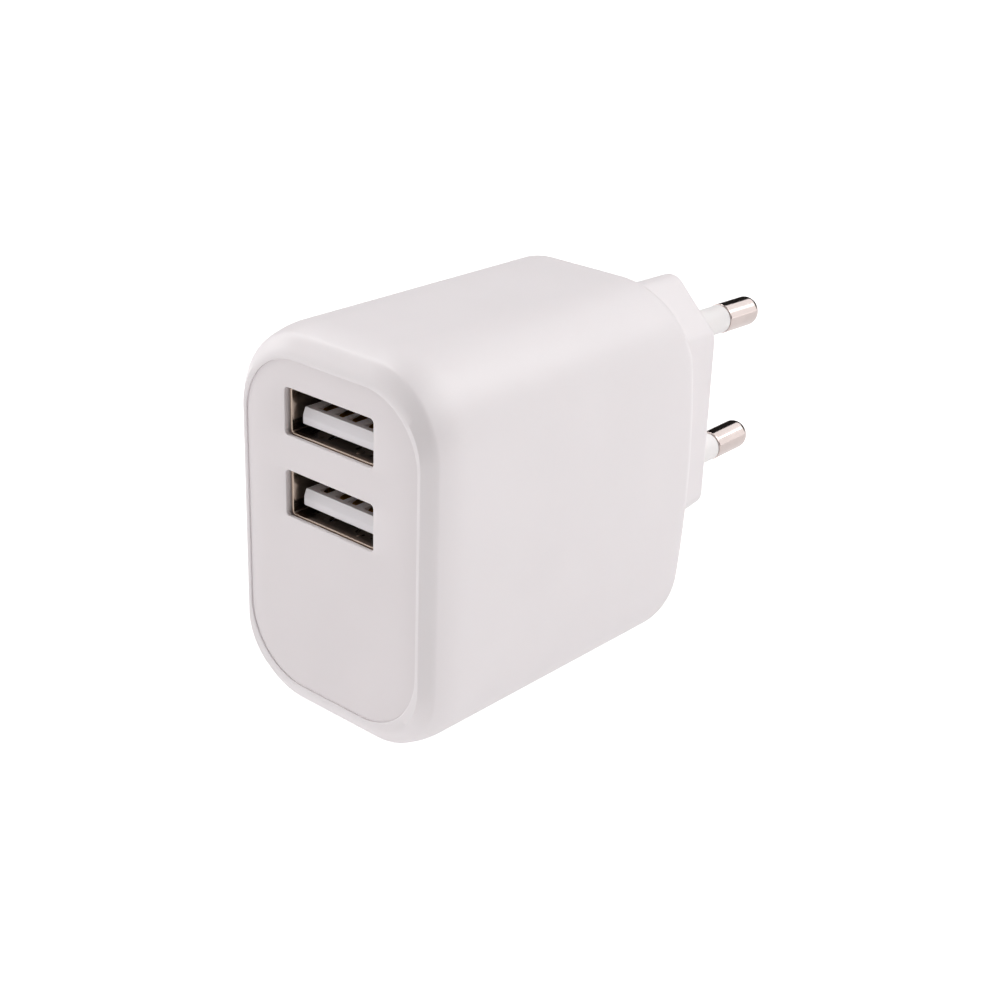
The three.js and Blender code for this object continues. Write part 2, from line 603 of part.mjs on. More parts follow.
// Upright board behind the sockets, slotted for the shells' legs, the contacts and the main board's tabs.
function usbBoard() {
  const plate = block(
    mainBoardX - USB_BOARD_LEFT_MARGIN, cavityHalfW - USB_BOARD_RIGHT_MARGIN, usbBoardFront, usbBoardBack,
    socketHeights.lower - USB_BOARD_BOTTOM, socketHeights.upper + USB_BOARD_TOP);
  const [y0, y1] = [usbBoardFront - 1, usbBoardBack + 1];
  const tools = [];
  for (const z of Object.values(socketHeights)) {
    for (const side of [-1, 1]) {
      const xMid = side * (SHELL_WIDTH / 2 - SHELL_SHEET / 2);
      const half = SHELL_SHEET / 2 + FIT;
      for (const up of [-1, 1]) {
        const reach = LEG_WIDTH / 2 + FIT / 2;
        tools.push(block(xMid - half, xMid + half, y0, y1, z + up * LEG_OFFSET - reach, z + up * LEG_OFFSET + reach));
      }
    }
    for (const x of CONTACT_OFFSETS) {
      const half = CONTACT_WIDTH / 2 + FIT / 2;
      const zMid = z + tongueTop - CONTACT_SHEET;
      tools.push(block(x - half, x + half, y0, y1, zMid - 0.7, zMid + 0.5));
    }
  }
  for (const z of tabHeights) {
    const half = TAB_WIDTH / 2 + FIT;
    tools.push(block(mainBoardX - FIT, mainBoardTopX + FIT, y0, y1, z - half, z + half));
  }
  return cut(plate.intersect(hollowRoom(y0, y1)), ...tools);
}

function mainBoard() {
  const plate = block(mainBoardX, mainBoardTopX, mainBoardFront, mainBoardBack, -mainBoardHalf, mainBoardHalf);
  const tabs = tabHeights.map((z) => block(mainBoardX, mainBoardTopX, usbBoardFront - TAB_REACH, mainBoardFront + 1,
    z - TAB_WIDTH / 2, z + TAB_WIDTH / 2));
  return join(plate, ...tabs).intersect(hollowRoom(usbBoardFront - 1, mainBoardBack));
}

// A thin sheet that keeps the mains side away from the sockets.
function insulatingSheet() {
  const half = mainBoardHalf - SHEET_MARGIN;
  return block(componentX, cavityHalfW - SHEET_MARGIN, insulatingSheetY, insulatingSheetY + SHEET_THICKNESS,
    -half, half);
}

// ---------------------------------------------------------------- components on the main board
// Places are measured from the board's front row (Y) and from its lower or upper edge (Z).

// A can standing on the board, with the rolled groove near its foot.
function canCapacitor(name, diameter, height, y, z, material) {
  const r = diameter / 2;
  const body = turned([
    [0, 0],
    [r - 0.4, 0],
    [r, 0.4],
    [r, 1.2],
    [r - 0.35, 1.6],
    [r, 2.0],
    [r, height - 0.5],
    [r - 0.5, height],
    [0, height],
  ], 20);
  const mesh = piece(name, body, material);
  mesh.rotation.z = -Math.PI / 2;
  mesh.position.set(componentX, y, z);
  return mesh;
}

function boxedComponent(name, size, y, z, material) {
  const [tall, alongY, alongZ] = size;
  const body = prism(rectangle(alongY / 2, alongZ / 2, 0.3, 2), 0, tall);
  const mesh = piece(name, body, material);
  mesh.rotation.z = -Math.PI / 2;
  mesh.position.set(componentX, y, z);
  return mesh;
}

// The transformer: a ferrite frame with a middle leg, a flanged bobbin round it, and the taped winding.
function transformer(y, z) {
  const [frameY, frameZ, frameX] = [13.2, 12.0, 11.0];
  const [legY, legZ] = [3.4, 5.0];
  const yoke = 2.2;
  const plate = 0.8;
  const tubeWall = 0.7;
  const window = { y: (frameY - legY) / 2 - 1.9, x: frameX - 2 * yoke };
  const frame = block(0, frameX, -frameY / 2, frameY / 2, -legZ / 2, legZ / 2);
  const core = cut(frame, ...[-1, 1].map((side) => {
    const middle = side * (legY / 2 + window.y / 2);
    return block(yoke, yoke + window.x, middle - window.y / 2, middle + window.y / 2, -legZ, legZ);
  }));
  const spoolTop = yoke + window.x - FIT;
  const tubeY = legY / 2 + FIT / 2 + tubeWall;
  const tubeZ = legZ / 2 + FIT / 2 + tubeWall;
  const flangeY = legY / 2 + window.y - FIT;
  const hole = block(0, frameX, -tubeY + tubeWall, tubeY - tubeWall, -tubeZ + tubeWall, tubeZ - tubeWall);
  const flanges = [yoke + FIT, spoolTop - plate].map((x) =>
    block(x, x + plate, -flangeY, flangeY, -frameZ / 2, frameZ / 2));
  const tube = block(yoke + FIT, spoolTop, -tubeY, tubeY, -tubeZ, tubeZ);
  const bobbin = cut(join(tube, ...flanges), hole);
  const [coilIn, coilOut] = [yoke + FIT + plate + FIT / 2, spoolTop - plate - FIT / 2];
  const coil = cut(
    prism(rectangle(flangeY - 0.3, frameZ / 2 - 0.5, 1.2, 3), coilIn, coilOut),
    prism(rectangle(tubeY + FIT / 2, tubeZ + FIT / 2, 0.1, 1), coilIn - 1, coilOut + 1));
  const windingMesh = piece('transformer_winding', coil, finishes.tape);
  windingMesh.rotation.z = -Math.PI / 2;
  const group = new THREE.Group();
  group.position.set(componentX, y, z);
  group.add(piece('transformer_core', core, finishes.ferrite));
  group.add(piece('transformer_bobbin', bobbin, finishes.bobbin));
  group.add(windingMesh);
  return group;
}

// A small axial part lying along Y, fatter at its two ends.
function fusibleResistor(y, z) {
  const body = turned([[0, -4.2], [0.9, -4.2], [1.25, -3.8], [1.25, -2.8], [1.0, -2.4], [1.0, 2.4], [1.25, 2.8],
    [1.25, 3.8], [0.9, 4.2], [0, 4.2]], 16);
  const mesh = piece('fusible_resistor', body, finishes.resistor);
  mesh.position.set(componentX + 1.25, y, z);
  return mesh;
}

// Drum-core choke: two flanges with the wound waist between them.
function filterInductor(y, z) {
  const body = turned([[0, 0], [2.6, 0], [2.6, 1.0], [2.2, 1.2], [2.2, 5.4], [2.6, 5.6], [2.6, 6.6], [0, 6.6]], 20);
  const mesh = piece('filter_inductor', body, finishes.can);
  mesh.rotation.z = -Math.PI / 2;
  mesh.position.set(componentX, y, z);
  return mesh;
}

// Disc safety capacitor standing on edge.
function discCapacitor(y, z) {
  const body = turned([[0, -1.5], [2.6, -1.5], ...arc(2.6, 0, 1.5, 180, 0, 4).slice(1, -1), [2.6, 1.5], [0, 1.5]], 20);
  const mesh = piece('safety_capacitor', body, finishes.ceramic);
  mesh.position.set(componentX + 4.1, y, z);
  return mesh;
}

function mainBoardComponents() {
  const row = (distance) => componentFront + distance;
  const low = (distance) => distance - mainBoardHalf;
  const high = (distance) => mainBoardHalf - distance;
  const group = new THREE.Group();
  group.add(canCapacitor('output_capacitor_1', 6.3, 11, row(3.3), low(4.1), finishes.polymerCan));
  group.add(canCapacitor('output_capacitor_2', 6.3, 11, row(3.3), low(10.8), finishes.polymerCan));
  group.add(canCapacitor('bulk_capacitor_1', 7.0, 14, row(10.7), low(4.5), finishes.can));
  group.add(canCapacitor('bulk_capacitor_2', 7.0, 14, row(18.2), low(4.5), finishes.can));
  group.add(boxedComponent('controller_chip', [1.6, 5.0, 4.0], row(10.6), low(11.4), finishes.black));
  group.add(boxedComponent('bridge_rectifier', [2.5, 5.0, 4.2], row(17.6), low(11.4), finishes.black));
  group.add(boxedComponent('optocoupler', [3.4, 3.2, 4.6], row(1.7), high(13.8), finishes.black));
  group.add(boxedComponent('output_diode', [2.3, 3.2, 6.0], row(1.7), high(7.4), finishes.black));
  group.add(transformer(row(10.4), high(10.4)));
  group.add(fusibleResistor(row(9.0), high(2.6)));
  group.add(filterInductor(row(20.0), high(14.4)));
  group.add(discCapacitor(row(19.4), high(6.4)));
  return group;
}

// The chip that sets the charging current, below the lower socket.
function portController() {
  const [tall, side] = [1.1, 3.0];
  const body = prism(rectangle(side / 2, side / 2, 0.2, 2), usbBoardFront - SOLDER_GAP - tall,
    usbBoardFront - SOLDER_GAP, 0, socketHeights.lower - USB_BOARD_BOTTOM + 2.6);
  return piece('port_controller', body, finishes.black);
}

// ---------------------------------------------------------------- assembly

const body = new THREE.Group();
body.position.z = -PLUG_RISE;
body.add(piece('housing', housing(), finishes.housing));
body.add(piece('front_panel', frontPanel(), finishes.panel));
for (const [name, z] of Object.entries(socketHeights)) {
  body.add(usbSocket(name, z));
}
body.add(piece('usb_board', usbBoard(), finishes.board));
body.add(piece('main_board', mainBoard(), finishes.board));
body.add(piece('insulating_sheet', insulatingSheet(), finishes.sheet));
body.add(mainBoardComponents());
body.add(portController());

const charger = new THREE.Group();
charger.add(body);
for (const [name, side] of [['upper', 1], ['lower', -1]]) {
  charger.add(pin(name, side));
  charger.add(pinLead(name, side));
}

export default charger;
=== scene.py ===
"""USB wall charger with a two-pin European plug: the looks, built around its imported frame.

Lengths inside the functions are millimetres; scaled() turns them into metres when a mesh is made.
+Y runs out along the pins, +Z is up, and the panel with the sockets faces -Y.
"""

import json
import math

import bmesh
import bpy
import numpy as np
from mathutils import Matrix, Vector
from mathutils.geometry import tessellate_polygon


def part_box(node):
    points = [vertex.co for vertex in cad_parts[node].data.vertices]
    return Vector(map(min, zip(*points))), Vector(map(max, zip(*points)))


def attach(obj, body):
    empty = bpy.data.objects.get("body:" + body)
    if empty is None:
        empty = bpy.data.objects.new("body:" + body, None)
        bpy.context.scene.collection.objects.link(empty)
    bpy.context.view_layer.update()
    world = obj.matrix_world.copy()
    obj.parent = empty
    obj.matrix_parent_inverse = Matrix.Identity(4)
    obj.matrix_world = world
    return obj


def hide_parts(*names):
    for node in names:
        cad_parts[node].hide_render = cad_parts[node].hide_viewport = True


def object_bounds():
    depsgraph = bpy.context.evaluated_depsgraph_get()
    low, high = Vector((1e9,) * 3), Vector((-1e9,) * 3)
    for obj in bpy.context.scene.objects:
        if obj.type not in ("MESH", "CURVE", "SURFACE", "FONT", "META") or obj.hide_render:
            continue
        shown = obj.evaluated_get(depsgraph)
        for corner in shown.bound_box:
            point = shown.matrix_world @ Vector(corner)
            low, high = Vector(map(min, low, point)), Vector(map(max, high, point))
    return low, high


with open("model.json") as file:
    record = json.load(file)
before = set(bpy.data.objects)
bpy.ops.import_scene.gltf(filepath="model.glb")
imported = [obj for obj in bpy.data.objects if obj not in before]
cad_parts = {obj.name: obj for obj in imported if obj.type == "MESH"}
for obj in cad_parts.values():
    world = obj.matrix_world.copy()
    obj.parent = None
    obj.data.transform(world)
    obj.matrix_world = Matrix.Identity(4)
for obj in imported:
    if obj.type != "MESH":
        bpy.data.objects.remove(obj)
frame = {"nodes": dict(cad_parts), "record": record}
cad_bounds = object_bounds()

bl_info = {
    "name": "Wall Charger Builder",
    "version": (1, 0, 0),
    "blender": (4, 5, 0),
    "location": "View3D > Sidebar > Charger",
    "description": "Builds the finished surfaces of a two-port wall charger around its packed frame",
    "category": "Object",
}

BODY = "root"
MM = 0.001
SOCKETS = ("upper", "lower")
QUARTER_POINTS = 96
WELD = 2e-4
SHARP_ANGLE = 38


def mm_box(node):
    """The lowest and highest corners of a CAD node, in millimetres."""
    low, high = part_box(node)
    return np.array(low) / MM, np.array(high) / MM


HOUSING_LOW, HOUSING_HIGH = mm_box("housing")
PANEL_LOW, PANEL_HIGH = mm_box("front_panel")
SHELL_LOW, SHELL_HIGH = mm_box("usb_shell_upper")
PIN_LOW, PIN_HIGH = mm_box("pin_upper")
SLEEVE_HIGH = mm_box("pin_sleeve_upper")[1]
BODY_MIDDLE = (HOUSING_LOW[2] + HOUSING_HIGH[2]) / 2
HALF_HEIGHT = (HOUSING_HIGH[2] - HOUSING_LOW[2]) / 2
PANEL_HALF_HEIGHT = (PANEL_HIGH[2] - PANEL_LOW[2]) / 2
PLUG_FLAT_GROWTH = 0.4      # share of the plug's growth that lengthens its flat sides


# ------------------------------------------------ sizes and colours

def length(name, description, default_mm):
    """A length property, given in millimetres and kept in metres."""
    return bpy.props.FloatProperty(name=name, description=description, default=default_mm * MM,
                                   min=0.0, precision=5, unit="LENGTH")


def hue(name, description, code):
    """A colour property, given as an sRGB hex code."""
    return bpy.props.FloatVectorProperty(name=name, description=description, subtype="COLOR", size=4,
                                         min=0.0, max=1.0, default=linear(code))


def linear(code):
    """An sRGB hex code as linear red, green, blue and full alpha."""
    parts = [int(code[i:i + 2], 16) / 255 for i in (1, 3, 5)]
    return tuple(c / 12.92 if c <= 0.04045 else ((c + 0.055) / 1.055) ** 2.4 for c in parts) + (1.0,)


class ChargerSizes(bpy.types.PropertyGroup):
    corner: length("Upper body corner", "Radius of the two upper long edges", 10.1)
    corner_low: length("Lower body corner", "Radius of the two lower long edges", 9.4)
    rim_depth: length("Rim depth", "How far the softened front rim reaches back", 5.2)
    rim_crease: length("Rim crease", "Depth of the crease where the rim's slope meets its soft part", 1.25)
    rim_soft: length("Rim crease rounding", "Reach of the crease's rounding to each side", 0.35)
    rim_land: length("Rim land", "Flat ring between the rim and the seam", 0.45)
    lip: length("Lip", "Rounding of the housing's mouth", 0.25)
    seam: length("Seam", "Gap round the front panel", 0.004)
    wall: length("Wall", "Thinnest part of the back wall", 2.0)
    back_edge: length("Back edge", "Rounding between the sides and the back", 2.0)
    crown: length("Back crown", "How far the back bulges at its middle", 2.8)
    plug_reach: length("Plug reach", "Middle of the back to the wall face", 14.1)
    plug_width: length("Plug width", "Width of the plug at the wall face", 14.7)
    plug_height: length("Plug height", "Height of the plug at the wall face", 35.4)
    plug_flat: length("Plug flat", "Height of the plug's flat sides", 22.6)
    plug_draft: length("Plug draft", "Growth of each side towards the housing", 0.35)
    plug_corner: length("Plug corner", "Rounding of the plug's long edges", 2.0)
    plug_edge: length("Plug end edge", "Rounding of the edge of the wall face", 0.7)
    plug_fillet: length("Plug fillet", "Rounding between the plug and the back", 0.5)
    panel_corner: length("Upper panel corner", "Radius of the front panel's upper corners", 7.8)
    panel_corner_low: length("Lower panel corner", "Radius of the front panel's lower corners", 8.4)
    panel_edge: length("Panel edge", "Rounding of the panel's edge", 0.2)
    panel_roll: length("Panel roll", "Width of the soft fall along the panel's edge", 2.6)
    panel_drop: length("Panel drop", "Depth of that fall", 0.18)
    panel_plate: length("Panel plate", "Thickness of the panel", 1.8)
    mouth_width: length("Mouth width", "Width of a socket opening", 13.6)
    mouth_height: length("Mouth height", "Height of a socket opening", 5.5)
    mouth_corner: length("Mouth corner", "Corner radius of a socket opening", 0.5)
    mouth_edge: length("Mouth edge", "Rounding of the opening's edge", 0.1)
    sheet: length("Shell sheet", "Thickness of the socket's sheet metal", 0.3)
    pin_root: length("Pin root height", "Height of a pin's axis at the wall face", 9.5)
    pin_tip: length("Pin tip height", "Height of a pin's axis at its tip", 9.0)


class ChargerColours(bpy.types.PropertyGroup):
    housing: hue("Housing", "White of the moulded housing", "#F1ECEE")
    panel: hue("Panel", "White of the front panel", "#ECE6E8")
    sleeve: hue("Pin sleeves", "White of the insulating sleeves", "#F2EFEF")
    tongue: hue("Socket tongue", "White of the socket insulators", "#F4F1F5")
    nickel: hue("Pins", "Bright plate on the pins", "#DDD0CC")
    shell: hue("Socket shells", "Plated sheet of the sockets", "#D6C4B4")
    contact: hue("Contacts", "Thin gold over nickel", "#C79A55")
    floor: hue("Floor", "Pale studio floor", "#FBFAFA")


def sizes(context):
    """Every size of the scene's size group, in millimetres, by name."""
    group = context.scene.charger_sizes
    return type("Sizes", (), {key: getattr(group, key) / MM for key in ChargerSizes.__annotations__})


# ------------------------------------------------ outlines

def filleted(corners, radius, shares):
    """Points at the given shares of a path's length. The path runs through the corners in straight lines,
    and each inner corner is an arc of the radius that touches both of its lines."""
    corners = np.asarray(corners, float)
    pieces = []
    start = corners[0]
    for before, here, after in zip(corners[:-2], corners[1:-1], corners[2:]):
        along = (here - before) / np.linalg.norm(here - before)
        onward = (after - here) / np.linalg.norm(after - here)
        turn = math.acos(np.clip(along @ onward, -1, 1))
        trim = radius * math.tan(turn / 2)
        end = here - along * trim
        pieces.append((start, end, None, 0.0))
        centre = end + np.array([-along[1], along[0]]) * radius
        start = here + onward * trim
        pieces.append((end, start, centre, turn))
    pieces.append((start, corners[-1], None, 0.0))
    lengths = [np.linalg.norm(b - a) if centre is None else radius * turn for a, b, centre, turn in pieces]
    at = np.asarray(shares) * sum(lengths)
    points = np.empty((len(at), 2))
    passed = 0.0
    for (a, b, centre, turn), size in zip(pieces, lengths):
        here = (at >= passed - 1e-9) & (at <= passed + size + 1e-9)
        share = (at[here] - passed) / max(size, 1e-9)
        if centre is None:
            points[here] = a + share[:, None] * (b - a)
        else:
            angle, arm = share * turn, a - centre
            points[here] = centre + np.stack([arm[0] * np.cos(angle) - arm[1] * np.sin(angle),
                                              arm[0] * np.sin(angle) + arm[1] * np.cos(angle)], 1)
        passed += size
    return points


def mirrored(quarter):
    """A whole outline from its quarter between the +X and the +Z axis, mirrored in both axes."""
    up, down = quarter[:-1], quarter[:0:-1]
    return np.concatenate([up, down * (-1, 1), -up, down * (1, -1)])


def rectangle(half_w, half_h, radius, count=QUARTER_POINTS):
    """A rounded rectangle, evenly spaced along each quarter."""
    radius = min(radius, half_w, half_h)
    corners = [(half_w, 0), (half_w, half_h), (0, half_h)]
    return mirrored(filleted(corners, radius, np.linspace(0, 1, count + 1)))


def plug_outline(s, y, grow):
    """The plug's section at a depth: an upright rectangle with its corners cut, grown by its draft and by a
    given amount."""
    grow = grow - s.plug_draft * y / s.plug_reach
    half_w, half_h = s.plug_width / 2 + grow, s.plug_height / 2 + grow
    flat = s.plug_flat / 2 + grow * PLUG_FLAT_GROWTH
    corners = [(half_w, 0), (half_w, flat), (half_w - (half_h - flat), half_h), (0, half_h)]
    return mirrored(filleted(corners, s.plug_corner, np.linspace(0, 1, QUARTER_POINTS + 1)))


def circle(radius, count, centre=(0, 0)):
    """A circle of evenly spaced points."""
    angle = np.linspace(0, 2 * math.pi, count, endpoint=False)
    return np.stack([np.cos(angle), np.sin(angle)], 1) * radius + centre


def at_depth(outline, y):
    """An outline in X and Z as points at depth y, which may be one value or one for each point."""
    return np.stack([outline[:, 0], np.broadcast_to(y, len(outline)), outline[:, 1]], 1)


def quarter_turn(steps, start=0):
    """Sine and cosine pairs from a start angle in degrees to 90 degrees."""
    angle = np.linspace(math.radians(start), math.pi / 2, steps + 1)
    return zip(np.sin(angle), np.cos(angle))


# ------------------------------------------------ surfaces

class Skin:
    """A mesh under construction: grids of rings and flat fills that share their edges."""

    def __init__(self):
        self.points = []
        self.faces = []
        self.total = 0

    def add(self, points, faces):
        """Adds points, and faces that count from the first of them."""
        self.points.append(np.asarray(points, float))
        self.faces.extend((np.asarray(faces) + self.total).tolist())
        self.total += len(points)

    def rings(self, rings, cap_first=False, cap_last=False):
        """A surface through closed rings of equal count, each end closed by a fan to its middle if asked."""
        grid = np.array(rings)
        rows, count = grid.shape[:2]
        row, column = np.meshgrid(np.arange(rows - 1), np.arange(count), indexing="ij")
        here, beside = row * count + column, row * count + (column + 1) % count
        quads = np.stack([here, beside, beside + count, here + count], -1).reshape(-1, 4)
        self.add(grid.reshape(-1, 3), quads)
        for wanted, ring in ((cap_first, grid[0]), (cap_last, grid[-1])):
            if wanted:
                around = np.arange(count)
                fan = np.stack([around, (around + 1) % count, np.full(count, count)], 1)
                self.add(np.vstack([ring, ring.mean(0)]), fan)

    def sheet(self, grid, keep=None):
        """An open surface over a grid of points; keep says which of its cells have a face."""
        rows, columns = grid.shape[:2]
        row, column = np.meshgrid(np.arange(rows - 1), np.arange(columns - 1), indexing="ij")
        here = row * columns + column
        quads = np.stack([here, here + 1, here + columns + 1, here + columns], -1)
        self.add(grid.reshape(-1, 3), quads[keep] if keep is not None else quads.reshape(-1, 4))

    def fill(self, outlines, y):
        """A flat face at depth y: the first outline is its edge, and the others are holes."""
        loops = [[Vector((x, z, 0)) for x, z in outline] for outline in outlines]
        self.add(at_depth(np.concatenate(outlines), y), tessellate_polygon(loops))

    def piece(self, name, material, replaced, closed=True):
        """The finished object: welded, turned outwards if closed, smooth, and riding on the body."""
        mesh = bpy.data.meshes.new(name)
        mesh.from_pydata(np.concatenate(self.points) * MM, [], self.faces)
        shape = bmesh.new()
        shape.from_mesh(mesh)
        bmesh.ops.remove_doubles(shape, verts=shape.verts, dist=WELD * MM)
        bmesh.ops.dissolve_degenerate(shape, dist=1e-5 * MM, edges=shape.edges)
        loose = [v for v in shape.verts if not v.link_faces]
        bmesh.ops.delete(shape, geom=loose, context="VERTS")
        if closed:
            bmesh.ops.recalc_face_normals(shape, faces=shape.faces)
        shape.to_mesh(mesh)
        shape.free()
        mesh.shade_smooth()
        mesh.set_sharp_from_angle(angle=math.radians(SHARP_ANGLE))
        obj = bpy.data.objects.new(name, mesh)
        bpy.context.scene.collection.objects.link(obj)
        obj.data.materials.append(material)
        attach(obj, BODY)
        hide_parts(*replaced)
        return obj


def modifier(obj, kind, **settings):
    """Adds one modifier with its settings."""
    added = obj.modifiers.new(kind.title(), kind)
    for key, value in settings.items():
        setattr(added, key, value)


# ------------------------------------------------ material nodes

def add(tree, kind, sockets=None, **settings):
    """Adds one shader node: its settings, and its sockets as values or as outputs to link."""
    node = tree.nodes.new("ShaderNode" + kind)
    for key, value in settings.items():
        setattr(node, key, value)
    for key, value in (sockets or {}).items():
        if isinstance(value, bpy.types.NodeSocket):
            tree.links.new(value, node.inputs[key])
        else:
            node.inputs[key].default_value = value
    return node


def per_mm(spacing_mm):
    """The texture scale that repeats once in the given spacing, on coordinates in metres."""
    return 1.0 / (spacing_mm * MM)


def blank(name):
    """An empty node material and its tree."""
    material = bpy.data.materials.new(name)
    material.use_nodes = True
    material.node_tree.nodes.clear()
    return material, material.node_tree


def surface(tree, sockets):
    """The principled surface and the output it feeds."""
    shader = add(tree, "BsdfPrincipled", sockets)
    add(tree, "OutputMaterial", {"Surface": shader.outputs["BSDF"]})


def noise(tree, spacing_mm, stretch=(1, 1, 1), detail=2.0, rough=0.5):
    """Noise on object coordinates with blotches about the given size; a stretch below 1 lengthens them along
    its axis."""
    where = add(tree, "TexCoord").outputs["Object"]
    turned = add(tree, "Mapping", {"Vector": where, "Scale": stretch}).outputs["Vector"]
    return add(tree, "TexNoise", {"Vector": turned, "Scale": per_mm(spacing_mm), "Detail": detail,
                                  "Roughness": rough}).outputs["Fac"]


def spread(tree, factor, low, high):
    """A factor between 0.3 and 0.7, which is where noise lies, carried to low and high."""
    return add(tree, "MapRange", {"Value": factor, "From Min": 0.3, "From Max": 0.7,
                                  "To Min": low, "To Max": high}).outputs["Result"]


def tint(tree, factor, first, second):
    """One colour mixed into another by a factor."""
    mix = add(tree, "Mix", data_type="RGBA")
    tree.links.new(factor, mix.inputs["Factor"])
    mix.inputs["A"].default_value = first
    mix.inputs["B"].default_value = second
    return mix.outputs["Result"]


def shade(colour, share):
    """A colour made lighter or darker by a share."""
    return tuple(min(c * share, 1.0) for c in colour[:3]) + (1.0,)


def bump(tree, height, depth_mm):
    """A bump normal from a height pattern, with its depth in millimetres."""
    return add(tree, "Bump", {"Height": height, "Distance": depth_mm * MM, "Strength": 1.0}).outputs["Normal"]


def moulded_plastic(name, colour, rough, grain_mm=0.12, grain_depth=0.004, glow=0.06, mottle=0.02):
    """Plastic from an injection mould: a fine spark-eroded grain that softens highlights, a faint cloudiness
    from the flow, and a little light carried under the surface."""
    material, tree = blank(name)
    flow = noise(tree, 9.0, detail=1.0)
    grain = noise(tree, grain_mm, detail=3.0, rough=0.6)
    surface(tree, {
        "Base Color": tint(tree, flow, shade(colour, 1 - mottle), shade(colour, 1 + mottle)),
        "Roughness": spread(tree, grain, rough - 0.04, rough + 0.04),
        "IOR": 1.58,
        "Specular IOR Level": 0.45,
        "Subsurface Weight": glow,
        "Subsurface Radius": (1.0, 0.85, 0.8),
        "Subsurface Scale": 1.2 * MM,
        "Normal": bump(tree, grain, grain_depth),
    })
    return material


def plated_metal(name, colour, rough, streak_mm, stretch, streak_depth, dull=0.06, dark=0.85, painted_shade_depths=None):
    """Bright plate on metal: fine streaks drawn along the working direction, and faint dull clouds from
    handling. When two depths along Y are given, in millimetres, the colour darkens between them to its dark
    share, as painted shade deeper into a hollow."""
    material, tree = blank(name)
    streaks = noise(tree, streak_mm, stretch=stretch)
    clouds = noise(tree, 2.6, detail=3.0)
    mix = clouds
    # Painted shade: past the given depths along Y the colour darkens, as if shaded deep inside a hollow.
    if painted_shade_depths:
        place = add(tree, "SeparateXYZ", {"Vector": add(tree, "TexCoord").outputs["Object"]}).outputs["Y"]
        mix = add(tree, "MapRange", {
            "Value": place,
            "From Min": painted_shade_depths[1] * MM,
            "From Max": painted_shade_depths[0] * MM,
        }).outputs["Result"]
    surface(tree, {
        "Base Color": tint(tree, mix, shade(colour, dark), colour),
        "Metallic": 1.0,
        "Roughness": spread(tree, clouds, rough - dull / 2, rough + dull / 2),
        "Normal": bump(tree, streaks, streak_depth),
    })
    return material


def coated(name, code, rough, spacing_mm=0.4, depth_mm=0.01, dark=0.8, sockets=None):
    """A plain coat or moulding inside the case: one colour with soft unevenness and a shallow bump."""
    material, tree = blank(name)
    colour = linear(code)
    grain = noise(tree, spacing_mm, detail=3.0)
    surface(tree, {
        "Base Color": tint(tree, grain, shade(colour, dark), colour),
        "Roughness": spread(tree, grain, rough - 0.05, rough + 0.05),
        "Normal": bump(tree, grain, depth_mm),
        **(sockets or {}),
    })
    return material


def printed_board(name):
    """Green solder mask over copper tracks on glass laminate: the tracks show as lighter, slightly raised
    bands."""
    material, tree = blank(name)
    where = add(tree, "TexCoord").outputs["Object"]
    tracks = add(tree, "TexBrick", {"Vector": where, "Scale": per_mm(3.0), "Mortar Size": 0.035,
                                    "Color1": linear("#2E6B3C"), "Color2": linear("#2B6538"),
                                    "Mortar": linear("#4F9A58")})
    weave = noise(tree, 0.25)
    surface(tree, {
        "Base Color": tracks.outputs["Color"],
        "Roughness": spread(tree, weave, 0.28, 0.4),
        "Coat Weight": 0.4,
        "Normal": bump(tree, tracks.outputs["Fac"], 0.03),
    })
    return material


def taped_winding(name):
    """Yellow polyester tape wrapped over the windings: glossy turns with fine overlapping edges."""
    material, tree = blank(name)
    where = add(tree, "TexCoord").outputs["Object"]
    turns = add(tree, "TexWave", {"Vector": where, "Scale": per_mm(9.0), "Distortion": 1.2},
                bands_direction="X")
    surface(tree, {
        "Base Color": tint(tree, turns.outputs["Fac"], linear("#C99A1E"), linear("#E9BE3C")),
        "Roughness": 0.22,
        "Coat Weight": 0.5,
        "Normal": bump(tree, turns.outputs["Fac"], 0.03),
    })
    return material


def inner_finishes():
    """The finish of each material slot that only pieces inside the case use."""
    return {
        "lead_wire": coated("pvc_insulation_red", "#B3261E", 0.38),
        "circuit_board": printed_board("solder_mask_on_glass_laminate"),
        "insulating_sheet": coated("pressed_insulating_paper", "#D9D2B8", 0.75, 0.2, 0.02),
        "polymer_can": coated("drawn_aluminium_can", "#C4C7CC", 0.3, 0.5, 0.004, 0.9, {"Metallic": 1.0}),
        "sleeved_can": coated("shrunk_sleeve_black", "#24252C", 0.35, 0.8, 0.01),
        "epoxy_black": coated("moulded_epoxy_black", "#1B1B1E", 0.55, 0.15, 0.01, 0.7),
        "ferrite": coated("ground_ferrite", "#33343A", 0.6, 0.3, 0.02, 0.7),
        "bobbin": coated("phenolic_bobbin", "#1B1B1D", 0.45, 0.6, 0.01),
        "winding_tape": taped_winding("polyester_tape"),
        "resistor_coat": coated("dipped_cement_green", "#4B7F6A", 0.6, 0.3, 0.03),
        "inductor_core": coated("shrunk_sleeve_grey", "#2A2B30", 0.4, 0.8, 0.01),
        "disc_coat": coated("dipped_epoxy_blue", "#2F6FB4", 0.45, 0.7, 0.02),
    }


# ------------------------------------------------ housing

def back_surface(s, z):
    """The crowned back: a parabola in Z that is highest at mid height."""
    return -s.plug_reach - s.crown * ((z - BODY_MIDDLE) / HALF_HEIGHT) ** 2


def upright(half_w, half_h, high_radius, low_radius):
    """A rounded rectangle about the body's middle, with one radius above and another below."""
    high, low = (rectangle(half_w, half_h, radius) for radius in (high_radius, low_radius))
    return np.where(high[:, 1:] >= 0, high, low) + (0, BODY_MIDDLE)


def body_section(s, inset_x, inset_z):
    """The housing's outline, drawn in by two insets; the corner radii give up their mean."""
    less = (inset_x + inset_z) / 2
    return upright(HOUSING_HIGH[0] - inset_x, HALF_HEIGHT - inset_z, s.corner - less, s.corner_low - less)


